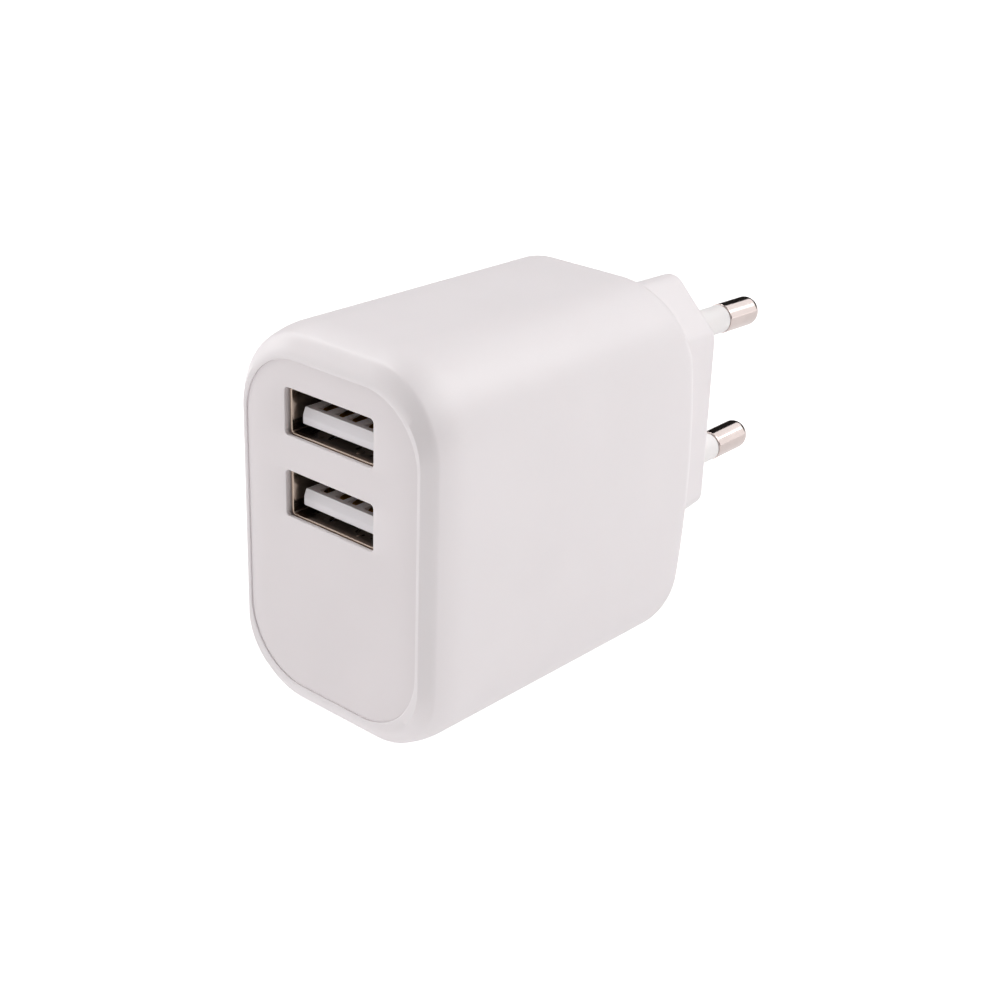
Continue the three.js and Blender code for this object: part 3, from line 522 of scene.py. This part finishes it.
def panel_section(s, inset):
    """The panel's outline drawn in by an inset, or grown by a negative one."""
    return upright(PANEL_HIGH[0] - inset, PANEL_HALF_HEIGHT - inset, s.panel_corner - inset,
                   s.panel_corner_low - inset)


SEAM_START = 52             # degrees at which the roundings on both sides of the seam begin
CREASE_SHARE = 0.3          # share of the rim's inset that is left at its crease
BORE = {"clearance": 0.05, "edge": 0.12, "depth": 3.0, "sides": 64}


def mouth_rings(s):
    """From the back of the hollow forward to the lip: straight walls, then a quarter round outwards."""
    front = HOUSING_LOW[1]
    hollow_back = -s.plug_reach - s.crown - s.wall
    rings = [at_depth(panel_section(s, -s.seam), hollow_back)]
    for sine, cosine in quarter_turn(5, SEAM_START):
        out = s.seam + s.lip * (math.cos(math.radians(SEAM_START)) - cosine)
        rings.append(at_depth(panel_section(s, -out), front + s.lip * (1 - sine)))
    return rings


def rim_rings(s):
    """The rim: a straight slope up to a crease that is rounded as a quadratic curve, then a parabola that
    ends along the sides. Shares of the whole inset are walked against depth."""
    front = HOUSING_LOW[1]
    inset_x = HOUSING_HIGH[0] - PANEL_HIGH[0] - s.seam - s.rim_land
    inset_z = HALF_HEIGHT - PANEL_HALF_HEIGHT - s.seam - s.rim_land

    def slope(depth):
        return 1 - (1 - CREASE_SHARE) * depth / s.rim_crease

    def soft(depth):
        return CREASE_SHARE * (1 - (depth - s.rim_crease) / (s.rim_depth - s.rim_crease)) ** 2

    enter, leave = s.rim_crease - s.rim_soft, s.rim_crease + s.rim_soft
    bend = np.array([(enter, slope(enter)), (s.rim_crease, CREASE_SHARE), (leave, soft(leave))])
    walk = [(0.0, 1.0), (enter * 0.5, slope(enter * 0.5))]
    for t in np.linspace(0, 1, 9):
        walk.append(tuple(bend[0] * (1 - t) ** 2 + bend[1] * 2 * t * (1 - t) + bend[2] * t * t))
    walk += [(depth, soft(depth)) for depth in np.linspace(leave, s.rim_depth, 18)[1:]]
    return [at_depth(body_section(s, inset_x * share, inset_z * share), front + depth)
            for depth, share in walk]


def back_rings(s):
    """The rounded back edge on the crowned back, then a blend across the back into the plug's outline."""
    rings = []
    for sine, cosine in quarter_turn(12):
        inward = s.back_edge * (1 - cosine)
        section = body_section(s, inward, inward)
        rings.append(at_depth(section, back_surface(s, section[:, 1]) - s.back_edge * (1 - sine)))
    outer = body_section(s, s.back_edge, s.back_edge)
    inner = plug_outline(s, -s.plug_reach, s.plug_fillet)
    for share in np.linspace(0, 1, 10)[1:]:
        section = outer * (1 - share) + inner * share
        rings.append(at_depth(section, back_surface(s, section[:, 1])))
    return rings


def plug_rings(s):
    """A hollow fillet out of the back, the drafted sides, and the rounded edge of the wall face."""
    rings = []
    for sine, cosine in quarter_turn(5):
        section = plug_outline(s, -s.plug_reach, s.plug_fillet * (1 - sine))
        rings.append(at_depth(section, back_surface(s, section[:, 1]) + s.plug_fillet * (1 - cosine)))
    rings.append(at_depth(plug_outline(s, -s.plug_edge - 0.1, 0), -s.plug_edge - 0.1))
    for sine, cosine in quarter_turn(8):
        y = -s.plug_edge * (1 - sine)
        rings.append(at_depth(plug_outline(s, y, -s.plug_edge * (1 - cosine)), y))
    return rings


def build_housing(s, material):
    """The housing as one closed skin: hollow, lip, rim, sides, back, plug, wall face and its two bores."""
    skin = Skin()
    rings = mouth_rings(s) + rim_rings(s) + back_rings(s) + plug_rings(s)
    skin.rings(rings, cap_first=True)
    radius, edge = SLEEVE_HIGH[0] + BORE["clearance"], BORE["edge"]
    bores = []
    for height in (s.pin_root, -s.pin_root):
        def bore(grow):
            return circle(radius + grow, BORE["sides"], (0, height))
        bores.append(bore(edge))
        walls = [at_depth(bore(edge * (1 - sine)), -edge * (1 - cosine)) for sine, cosine in quarter_turn(3)]
        walls.append(at_depth(bore(0), -BORE["depth"]))
        skin.rings(walls, cap_last=True)
    skin.fill([rings[-1][:, [0, 2]], *bores], 0.0)
    return skin.piece("housing_skin", material, ["housing"])


# ------------------------------------------------ front panel

SKIRT = {"outer": 1.0, "inner": 2.2}
GUIDE = {"clearance": 0.3, "side": 1.2, "end": 1.0, "corner": 0.3, "pocket_corner": 0.9}
MOUTH_STEP = 0.14           # from the widening of an opening back to the front of its shell


def socket_height(name):
    """The middle of a socket, from its shell."""
    low, high = mm_box(f"usb_shell_{name}")
    return (low[2] + high[2]) / 2


def build_panel(s, material):
    """The panel as one closed skin: a plate whose edge falls as a parabola, two stepped openings, a skirt
    behind its rim and a guide block round the sockets."""
    skin = Skin()
    front = PANEL_LOW[1]
    back = front + s.panel_plate
    deep = PANEL_HIGH[1]

    def section(inset):
        return panel_section(s, inset)

    def fall(inset):
        return s.panel_drop * max(1 - inset / s.panel_roll, 0) ** 2

    rings = [at_depth(section(0), back)]
    for sine, cosine in quarter_turn(5, SEAM_START):
        inset = s.panel_edge * (math.cos(math.radians(SEAM_START)) - cosine)
        rings.append(at_depth(section(inset), front + fall(inset) + s.panel_edge * (1 - sine)))
    for further in np.linspace(inset, s.panel_roll, 14)[1:]:
        rings.append(at_depth(section(further), front + fall(further)))
    skin.rings(rings)

    skirt_out, skirt_in = section(SKIRT["outer"]), section(SKIRT["inner"])
    skin.rings([at_depth(skirt_out, back), at_depth(skirt_out, deep), at_depth(skirt_in, deep),
                at_depth(skirt_in, back)])
    skin.fill([section(0), skirt_out], back)

    half_w = SHELL_HIGH[0] + GUIDE["clearance"]
    half_h = (SHELL_HIGH[2] - SHELL_LOW[2]) / 2 + GUIDE["clearance"]
    heights = [socket_height(name) for name in SOCKETS]
    guide_h = (heights[0] - heights[1]) / 2 + half_h + GUIDE["end"]
    guide = rectangle(half_w + GUIDE["side"], guide_h, GUIDE["corner"], 24) + (0, sum(heights) / 2)
    skin.rings([at_depth(guide, back), at_depth(guide, deep)])
    skin.fill([skirt_in, guide], back)

    step = SHELL_LOW[1] - MOUTH_STEP
    mouths, pockets = [], []
    for height in heights:
        def opening(grow):
            outline = rectangle(s.mouth_width / 2 + grow, s.mouth_height / 2 + grow, s.mouth_corner + grow)
            return outline + (0, height)
        pocket = rectangle(half_w, half_h, GUIDE["pocket_corner"]) + (0, height)
        walls = [at_depth(opening(s.mouth_edge * (1 - sine)), front + s.mouth_edge * (1 - cosine))
                 for sine, cosine in quarter_turn(4)]
        walls += [at_depth(opening(0), step), at_depth(pocket, step), at_depth(pocket, deep)]
        skin.rings(walls)
        mouths.append(opening(s.mouth_edge))
        pockets.append(pocket)
    skin.fill([section(s.panel_roll), *mouths], front)
    skin.fill([guide, *pockets], deep)
    return skin.piece("front_panel_skin", material, ["front_panel"])


# ------------------------------------------------ USB sockets

SPRING = {"width": 2.2, "length": 5.2, "slot": 0.5, "offset": 3.4, "setback": 1.5, "bow": 0.5}
LEG = {"height": 1.3, "width": 1.6}
SHELL_DEPTH = 13.0
SHELL_CORNER = 0.45
SHELL_BEVEL = 0.09
FINGER_POINTS = (14, 7)     # along a spring finger and across it
TONGUE = {"half_w": 5.55, "thick": 1.9, "under": 1.0, "setback": 0.85, "groove": 1.0, "run": 0.4, "drop": 1.0}
CORE_DEPTH = 3.6            # of the moulded block that closes a socket's back
GROOVE = {"depth": 0.32, "half_w": 0.56, "wall": 0.1, "rise": 0.25}
CONTACT_OFFSETS = (-3.5, -1.0, 1.0, 3.5)
CONTACT = {"thick": 0.25, "edge": 0.06, "lift": 0.08, "dip": 0.22, "dip_run": 0.5, "start": 0.2, "run": 4.4}


def shell_columns(half_w, half_h, radius):
    """The shell's section, walked once round, with points on the edges of its windows and legs."""
    near = SPRING["offset"] - SPRING["width"] / 2
    far = SPRING["offset"] + SPRING["width"] / 2
    strip = np.linspace(near, far, FINGER_POINTS[1])
    window = np.concatenate([[near - SPRING["slot"]], strip, [far + SPRING["slot"]]])
    flat = half_w - radius
    across = np.unique(np.concatenate([-window, window, np.linspace(-flat, flat, 9)]).round(4))
    leg = np.array([LEG["height"] - LEG["width"] / 2, LEG["height"] + LEG["width"] / 2])
    tall = half_h - radius
    up = np.unique(np.concatenate([[-tall, tall], leg, -leg, [0.0]]).round(4))
    angle = np.linspace(0, math.pi / 2, 6)[1:-1]
    bend = np.stack([np.cos(angle), np.sin(angle)], 1) * radius
    right = np.stack([np.full(len(up), half_w), up], 1)
    top = np.stack([across[::-1], np.full(len(across), half_h)], 1)
    half = np.concatenate([right, bend + (flat, tall), top, (bend[::-1] * (-1, 1)) + (-flat, tall)])
    loop = np.concatenate([half, -half])
    return np.vstack([loop, loop[:1]])


def finger(side, middle, half_h):
    """One spring finger: a strip that leaves the shell level, bows inwards as a sine of its length, and ends
    turned slightly back towards the wall. side is +1 above and -1 below."""
    rows, columns = FINGER_POINTS
    across = np.linspace(-SPRING["width"] / 2, SPRING["width"] / 2, columns) + middle
    along = np.linspace(0, 1, rows)
    depth = SPRING["setback"] + along * (SPRING["length"] - SPRING["slot"])
    bow = SPRING["bow"] * np.sin(along * 1.12 * math.pi / 1.3) ** 1.4
    grid = np.empty((rows, columns, 3))
    grid[..., 0] = across
    grid[..., 1] = depth[:, None]
    grid[..., 2] = side * (half_h - bow[:, None])
    return grid


def build_shell(s, name, material):
    """A folded sheet shell: its section carried along Y as a thin sheet, with four windows cut, their spring
    fingers bowed in, and four solder legs. Solidify gives the sheet its thickness."""
    skin = Skin()
    front = SHELL_LOW[1]
    height = socket_height(name)
    half_w = SHELL_HIGH[0] - s.sheet / 2
    half_h = (SHELL_HIGH[2] - SHELL_LOW[2]) / 2 - s.sheet / 2
    columns = shell_columns(half_w, half_h, SHELL_CORNER)
    window_end = SPRING["setback"] + SPRING["length"]
    leg_end = SHELL_HIGH[1] - front
    depths = np.array([0, 0.25, 0.6, 1.0, SPRING["setback"], 3.0, 4.8, window_end, 9.0, SHELL_DEPTH, leg_end])
    grid = np.empty((len(depths), len(columns), 3))
    grid[..., 0] = columns[:, 0]
    grid[..., 1] = depths[:, None]
    grid[..., 2] = columns[:, 1]
    middle = (columns[1:] + columns[:-1]) / 2
    depth = ((depths[1:] + depths[:-1]) / 2)[:, None]
    x, z = np.abs(middle[:, 0]), np.abs(middle[:, 1])
    level = np.abs(z - half_h) < 1e-6
    upright_side = np.abs(x - half_w) < 1e-6
    in_window = level & (np.abs(x - SPRING["offset"]) < SPRING["width"] / 2 + SPRING["slot"])
    on_leg = upright_side & (np.abs(z - LEG["height"]) < LEG["width"] / 2)
    in_slot = (depth > SPRING["setback"]) & (depth < window_end)
    keep = np.where(depth < SHELL_DEPTH, ~(in_window & in_slot), on_leg)
    skin.sheet(grid, keep)
    for side in (-1, 1):
        for offset in (-SPRING["offset"], SPRING["offset"]):
            skin.sheet(finger(side, offset, half_h))
    for part in skin.points:
        part += (0, front, height)
    replaced = [f"usb_shell_{name}"]
    shell = skin.piece(f"usb_shell_skin_{name}", material, replaced, closed=False)
    modifier(shell, "SOLIDIFY", thickness=s.sheet * MM, offset=0.0, use_even_offset=True)
    modifier(shell, "BEVEL", width=SHELL_BEVEL * MM, segments=2, limit_method="ANGLE",
             angle_limit=math.radians(50))


def rounded_bar(skin, half_w, half_h, radius, y0, y1, edge, centre_z, groove=None, count=QUARTER_POINTS,
                run=1.0, drop=0.0):
    """A bar along Y with a rounded section and rounded ends. Over the length run at its front the top rises
    by drop, and groove lowers the top as a function of X and Y."""
    depths = [(y0 + edge * (1 - sine), edge * (1 - cosine)) for sine, cosine in list(quarter_turn(5))[::-1]]
    steps = np.concatenate([np.linspace(0.03, 1.6, 40), np.linspace(2.0, y1 - y0 - 2.5 * edge, 8)])
    depths += [(y0 + edge + step, 0.0) for step in steps]
    depths += [(y1 - edge * (1 - sine), edge * (1 - cosine)) for sine, cosine in quarter_turn(5)]
    rings = []
    for y, inset in depths:
        section = rectangle(half_w - inset, half_h - inset, max(radius - inset * 0.5, 0.02), count)
        if groove is not None:
            top = section[:, 1] > half_h - inset - 0.02
            section[:, 1] -= np.where(top, groove(section[:, 0], y), 0)
        slant = drop * np.clip(1 - (y - y0) / run, 0, 1) / (2 * half_h)
        section[:, 1] = (section[:, 1] + half_h) * (1 - slant) - half_h
        rings.append(at_depth(section + (0, centre_z), y))
    skin.rings(rings, cap_first=True, cap_last=True)


def smooth_step(x, low, high):
    """0 below low, 1 above high, and a smooth rise between them."""
    share = np.clip((x - low) / (high - low), 0, 1)
    return share * share * (3 - 2 * share)


def tongue_levels(s, name):
    """The bottom and the top of a socket's tongue."""
    floor = mm_box(f"usb_shell_{name}")[0][2] + s.sheet
    return floor + TONGUE["under"], floor + TONGUE["under"] + TONGUE["thick"]


def build_insulator(s, name, material):
    """The moulded insulator: a tongue with a rounded nose, a shallow groove under each contact and the block
    that closes the socket's back."""
    low, high = mm_box(f"usb_insulator_{name}")
    bottom, top = tongue_levels(s, name)
    nose = low[1]
    core_front = nose - TONGUE["setback"] + SHELL_DEPTH - CORE_DEPTH
    groove_front = nose + TONGUE["groove"]

    def groove(x, y):
        nearest = np.min(np.abs(x[:, None] - np.array(CONTACT_OFFSETS)), 1)
        beside = 1 - smooth_step(nearest, GROOVE["half_w"], GROOVE["half_w"] + GROOVE["wall"])
        return GROOVE["depth"] * beside * smooth_step(y, groove_front, groove_front + GROOVE["rise"])

    skin = Skin()
    rounded_bar(skin, TONGUE["half_w"], TONGUE["thick"] / 2, 0.18, nose, core_front + 0.4, 0.16,
                (bottom + top) / 2, groove, 160, TONGUE["run"], TONGUE["drop"])
    rounded_bar(skin, high[0], (high[2] - low[2]) / 2, 0.3, core_front, high[1], 0.15,
                (high[2] + low[2]) / 2)
    return skin.piece(f"usb_insulator_skin_{name}", material, [f"usb_insulator_{name}"])


def build_contact(s, name, number, material):
    """One contact: a thin strip whose height above its groove is a low sine hump, with rounded long edges."""
    low, high = mm_box(f"usb_contact_{name}_{number}")
    thick = CONTACT["thick"]
    rest = tongue_levels(s, name)[1] - thick + CONTACT["lift"]
    y = np.linspace(low[1], high[1], 60)
    hump = np.clip((y - low[1] - CONTACT["start"]) / CONTACT["run"], 0, 1)
    z = rest + (high[2] - rest) * np.sin(hump * math.pi) ** 1.3
    z -= CONTACT["dip"] * (1 - smooth_step(y, low[1], low[1] + CONTACT["dip_run"]))
    section = rectangle((high[0] - low[0]) / 2, thick / 2, CONTACT["edge"], 8)
    rings = np.empty((len(y), len(section), 3))
    rings[..., 0] = section[:, 0] + (low[0] + high[0]) / 2
    rings[..., 1] = y[:, None]
    rings[..., 2] = z[:, None] - thick / 2 + section[:, 1]
    skin = Skin()
    skin.rings(rings, cap_first=True, cap_last=True)
    return skin.piece(f"usb_contact_skin_{name}_{number}", material,
                      [f"usb_contact_{name}_{number}"])


# ------------------------------------------------ pins

PIN = {"bare": 2.0, "shoulder": 11.1, "core": 1.4, "tail": 1.0, "tail_end": -7.5, "flange": 2.6,
       "flange_back": -4.5, "flange_front": -3.5, "nose": 1.75, "short": 0.001}
SLEEVE = {"outer": 1.9, "inner": 1.42, "start": -3.3, "end": 11.0}
AXIS = 0.001                # the smallest radius of a profile, where its cap begins
SOFT_EDGE = 0.12


def arc(r, y, radius, start, end, steps):
    """Profile points on an arc about (r, y); angles are in degrees from the Y axis."""
    angle = np.radians(np.linspace(start, end, steps))
    return [(r + radius * math.sin(a), y + radius * math.cos(a)) for a in angle]


def turned_piece(s, name, profile, side, material, replaced):
    """A profile of radius and Y spun about a pin's axis, which leans inwards from its root."""
    sides = 96
    profile = np.array(profile)
    angle = np.linspace(0, 2 * math.pi, sides, endpoint=False)
    rings = np.empty((len(profile), sides, 3))
    rings[..., 0] = profile[:, :1] * np.cos(angle)
    rings[..., 1] = profile[:, 1:]
    rings[..., 2] = profile[:, :1] * np.sin(angle)
    lean = -side * math.atan((s.pin_root - s.pin_tip) / PIN_HIGH[1])
    cosine, sine = math.cos(lean), math.sin(lean)
    y, z = rings[..., 1].copy(), rings[..., 2].copy()
    rings[..., 1] = y * cosine - z * sine
    rings[..., 2] = y * sine + z * cosine + side * s.pin_root
    skin = Skin()
    skin.rings(rings, cap_first=True, cap_last=True)
    return skin.piece(name, material, replaced)


def build_pin(s, name, side, material):
    """A plated pin: tail, flange and core inside, then the bare end with its rounded tip."""
    bare, shoulder, nose = PIN["bare"], PIN["shoulder"], PIN["nose"]
    tip = PIN_HIGH[1] - PIN["short"]
    profile = [
        (AXIS, PIN["tail_end"]),
        (PIN["tail"] - 0.1, PIN["tail_end"]),
        (PIN["tail"], PIN["tail_end"] + 0.1),
        (PIN["tail"], PIN["flange_back"]),
        (PIN["flange"], PIN["flange_back"]),
        (PIN["flange"], PIN["flange_front"]),
        (PIN["core"], PIN["flange_front"]),
        (PIN["core"], shoulder),
        (bare - SOFT_EDGE, shoulder),
    ]
    profile += arc(bare - SOFT_EDGE, shoulder + SOFT_EDGE, SOFT_EDGE, 180, 90, 5)
    profile += [(bare, shoulder + 0.3), (bare, tip - nose - 0.15)]
    profile += arc(bare - nose, tip - nose, nose, 90, 0, 20)
    profile += [(AXIS, tip)]
    return turned_piece(s, f"pin_skin_{name}", profile, side, material, [f"pin_{name}"])


def build_sleeve(s, name, side, material):
    """An insulating sleeve: a straight round bar over the pin's core, closed flat at its ends, with its outer
    edges softened."""
    outer, inner, start, end = (SLEEVE[key] for key in ("outer", "inner", "start", "end"))
    profile = [(inner, start), (outer - 0.08, start), (outer, start + 0.1), (outer, end - SOFT_EDGE)]
    profile += arc(outer - SOFT_EDGE, end - SOFT_EDGE, SOFT_EDGE, 90, 0, 5)
    profile += [(inner + 0.1, end)]
    return turned_piece(s, f"pin_sleeve_skin_{name}", profile, side, material,
                        [f"pin_sleeve_{name}"])


# ------------------------------------------------ stage

# place and lens in millimetres, angles in degrees
CAMERA = {"place": (125.18, -176.07, 80.0), "azimuth": 41.062, "elevation": 23.802, "roll": 2.012,
          "lens": 62.465}


def build_camera():
    """The camera: it looks back along its azimuth and elevation, and is rolled a little about its axis."""
    azimuth, elevation, roll = (math.radians(CAMERA[key]) for key in ("azimuth", "elevation", "roll"))
    back = Vector((math.sin(azimuth) * math.cos(elevation), -math.cos(azimuth) * math.cos(elevation),
                   math.sin(elevation)))
    level = Vector((math.cos(azimuth), math.sin(azimuth), 0))
    upright = back.cross(level)
    right = level * math.cos(roll) + upright * math.sin(roll)
    up = upright * math.cos(roll) - level * math.sin(roll)
    camera = bpy.data.objects.new("camera", bpy.data.cameras.new("camera"))
    camera.data.lens = CAMERA["lens"]
    camera.data.clip_start = 0.01
    camera.matrix_world = Matrix((right, up, back)).transposed().to_4x4()
    camera.location = Vector(CAMERA["place"]) * MM
    bpy.context.scene.collection.objects.link(camera)
    bpy.context.scene.camera = camera


FLOOR_RADIUS = 4000
FLOOR_SIDES = 96
FLOOR_GLOW = 0.6
ROOM_GLOW = 0.157
DARK_SIDE = (-0.62, 0.72, 0.3)
DARK_SHARE = 0.12
AIM = (0, -0.03, 0)
# name: place and width in metres, and power in watts
LIGHTS = {
    "back_right_light": ((0.485, 0.485, 0.728), 0.6, 3.4),
    "back_light": ((0.094, 0.749, 0.656), 0.7, 1.9),
    "low_back_light": ((0.605, 0.756, 0.252), 0.7, 1.75),
    "right_light": ((0.73, 0.0, 0.684), 0.6, 1.45),
    "front_light": ((-0.196, -0.98, 0.02), 0.5, 2.6),
    "left_light": ((-0.876, -0.341, 0.341), 0.6, 2.75),
    "left_top_light": ((-0.624, -0.144, 0.768), 0.6, 3.2),
    "skimming_light": ((-0.359, -0.1, 0.928), 0.16, 1.4),
}


def softbox(name, place, size, power):
    """A square white area light that faces the charger."""
    lamp = bpy.data.lights.new(name, "AREA")
    lamp.energy = power
    lamp.size = size
    obj = bpy.data.objects.new(name, lamp)
    obj.location = place
    obj.rotation_euler = (Vector(place) - Vector(AIM)).to_track_quat("Z", "Y").to_euler()
    bpy.context.scene.collection.objects.link(obj)


def build_floor(material):
    """A wide floor disc at the charger's lowest point, on rings whose radius grows as a square."""
    low = cad_bounds[0][2] / MM
    skin = Skin()
    rings = []
    for share in np.linspace(1, 0.05, 20) ** 2:
        ring = circle(FLOOR_RADIUS * share, FLOOR_SIDES)
        rings.append(np.column_stack([ring, np.full(FLOOR_SIDES, low)]))
    skin.rings(rings, cap_last=True)
    mesh = bpy.data.meshes.new("studio_floor")
    mesh.from_pydata(np.concatenate(skin.points) * MM, [], skin.faces)
    floor = bpy.data.objects.new("studio_floor", mesh)
    floor.data.materials.append(material)
    bpy.context.scene.collection.objects.link(floor)


def floor_finish(colour):
    """Matt white studio paper with the faintest tooth. It glows, so that it reads as plain white with no
    shadow, and it lights the charger from below with less than the camera sees."""
    material, tree = blank("studio_paper")
    tooth = noise(tree, 1.5)
    seen = add(tree, "LightPath").outputs["Is Camera Ray"]
    surface(tree, {
        "Base Color": tint(tree, tooth, shade(colour, 0.4), shade(colour, 0.41)),
        "Roughness": 0.9,
        "Specular IOR Level": 0.1,
        "Emission Color": colour,
        "Emission Strength": add(tree, "MapRange", {"Value": seen, "To Min": FLOOR_GLOW,
                                                    "To Max": 1.05}).outputs["Result"],
    })
    return material


def build_world():
    """A dim warm room around the lights, darker towards the back left, which the pins' upper sides mirror.
    The camera itself sees it plain white."""
    world = bpy.data.worlds.new("studio_room")
    world.use_nodes = True
    tree = world.node_tree
    tree.nodes.clear()
    towards = add(tree, "TexCoord").outputs["Generated"]
    facing = add(tree, "VectorMath", {0: towards, 1: DARK_SIDE}, operation="DOT_PRODUCT").outputs["Value"]
    level = add(tree, "MapRange", {"Value": facing, "From Min": 0.35, "From Max": 0.75, "To Min": ROOM_GLOW,
                                   "To Max": ROOM_GLOW * DARK_SHARE}).outputs["Result"]
    seen = add(tree, "LightPath").outputs["Is Camera Ray"]
    strength = add(tree, "Math", {0: level, 1: seen}, operation="MAXIMUM").outputs["Value"]
    room = add(tree, "Background", {
        "Color": tint(tree, seen, linear("#F2E9E4"), linear("#FFFFFF")),
        "Strength": strength,
    })
    add(tree, "OutputWorld", {"Surface": room.outputs[0]})
    bpy.context.scene.world = world


# ------------------------------------------------ operators

class BuildStage(bpy.types.Operator):
    """Set up the camera, the soft lights and the pale floor"""
    bl_idname = "charger.build_stage"
    bl_label = "Stage"

    def execute(self, context):
        build_camera()
        build_floor(floor_finish(tuple(context.scene.charger_colours.floor)))
        build_world()
        for name, (place, size, power) in LIGHTS.items():
            softbox(name, place, size, power)
        context.scene.view_settings.view_transform = "Standard"
        return {"FINISHED"}


class BuildHousing(bpy.types.Operator):
    """Build the housing with its plug as one moulded skin"""
    bl_idname = "charger.build_housing"
    bl_label = "Housing"

    def execute(self, context):
        colour = tuple(context.scene.charger_colours.housing)
        build_housing(sizes(context), moulded_plastic("moulded_polycarbonate_white", colour, 0.4))
        return {"FINISHED"}


class BuildPanel(bpy.types.Operator):
    """Build the inset front panel with its two openings"""
    bl_idname = "charger.build_panel"
    bl_label = "Front panel"

    def execute(self, context):
        colour = tuple(context.scene.charger_colours.panel)
        build_panel(sizes(context), moulded_plastic("moulded_polycarbonate_panel", colour, 0.44, 0.1))
        return {"FINISHED"}


class BuildShells(bpy.types.Operator):
    """Build the folded metal shells of the sockets"""
    bl_idname = "charger.build_shells"
    bl_label = "Socket shells"

    def execute(self, context):
        colour = tuple(context.scene.charger_colours.shell)
        front = SHELL_LOW[1]
        # Painted shade: the shells' colour darkens from just behind their front edge deeper into the socket.
        material = plated_metal("tin_plated_steel_stamped", colour, 0.22, 0.08, (1, 0.08, 1), 0.002,
                                dark=0.34, painted_shade_depths=(front + 0.1, front + 0.9))
        for name in SOCKETS:
            build_shell(sizes(context), name, material)
        return {"FINISHED"}


class BuildInsulators(bpy.types.Operator):
    """Build the white tongues of the sockets"""
    bl_idname = "charger.build_insulators"
    bl_label = "Socket tongues"

    def execute(self, context):
        colour = tuple(context.scene.charger_colours.tongue)
        material = moulded_plastic("moulded_pbt_white", colour, 0.5, 0.08, 0.003, 0.1)
        for name in SOCKETS:
            build_insulator(sizes(context), name, material)
        return {"FINISHED"}


class BuildContacts(bpy.types.Operator):
    """Build the eight contacts on the tongues"""
    bl_idname = "charger.build_contacts"
    bl_label = "Socket contacts"

    def execute(self, context):
        colour = tuple(context.scene.charger_colours.contact)
        material = plated_metal("gold_flash_on_nickel", colour, 0.3, 0.06, (1, 0.05, 1), 0.002, dark=0.7)
        for name in SOCKETS:
            for number in range(1, len(CONTACT_OFFSETS) + 1):
                build_contact(sizes(context), name, number, material)
        return {"FINISHED"}


class BuildPins(bpy.types.Operator):
    """Build the two plated pins and their insulating sleeves"""
    bl_idname = "charger.build_pins"
    bl_label = "Pins and sleeves"

    def execute(self, context):
        colours = context.scene.charger_colours
        plate, white = tuple(colours.nickel), tuple(colours.sleeve)
        nickel = plated_metal("bright_nickel_on_brass", plate, 0.14, 0.12, (1, 0.03, 1), 0.0015)
        nylon = moulded_plastic("moulded_nylon_white", white, 0.42, 0.08, 0.003, 0.1)
        for name, side in (("upper", 1), ("lower", -1)):
            build_pin(sizes(context), name, side, nickel)
            build_sleeve(sizes(context), name, side, nylon)
        return {"FINISHED"}


class FinishInside(bpy.types.Operator):
    """Give the circuit inside the case its materials"""
    bl_idname = "charger.finish_inside"
    bl_label = "Inside parts"

    def execute(self, context):
        finishes = inner_finishes()
        for row in frame["record"]["subparts"]:
            if row["material_slot"] in finishes:
                mesh = frame["nodes"][row["node"]].data
                mesh.materials.clear()
                mesh.materials.append(finishes[row["material_slot"]])
        return {"FINISHED"}


class ChargerPanel(bpy.types.Panel):
    bl_idname = "VIEW3D_PT_charger"
    bl_label = "Wall Charger"
    bl_space_type = "VIEW_3D"
    bl_region_type = "UI"
    bl_category = "Charger"

    def draw(self, context):
        column = self.layout.column()
        for operator in OPERATORS:
            column.operator(operator.bl_idname)
        for group in (context.scene.charger_sizes, context.scene.charger_colours):
            for key in type(group).__annotations__:
                column.prop(group, key)


OPERATORS = (BuildStage, BuildHousing, BuildPanel, BuildShells, BuildInsulators, BuildContacts, BuildPins,
             FinishInside)
CLASSES = (ChargerSizes, ChargerColours, *OPERATORS, ChargerPanel)


def register():
    for cls in CLASSES:
        bpy.utils.register_class(cls)
    bpy.types.Scene.charger_sizes = bpy.props.PointerProperty(type=ChargerSizes)
    bpy.types.Scene.charger_colours = bpy.props.PointerProperty(type=ChargerColours)


def unregister():
    del bpy.types.Scene.charger_colours
    del bpy.types.Scene.charger_sizes
    for cls in reversed(CLASSES):
        bpy.utils.unregister_class(cls)


def main():
    register()
    bpy.ops.charger.build_stage()
    bpy.ops.charger.build_housing()
    bpy.ops.charger.build_panel()
    bpy.ops.charger.build_shells()
    bpy.ops.charger.build_insulators()
    bpy.ops.charger.build_contacts()
    bpy.ops.charger.build_pins()
    bpy.ops.charger.finish_inside()


if __name__ == "__main__":
    main()
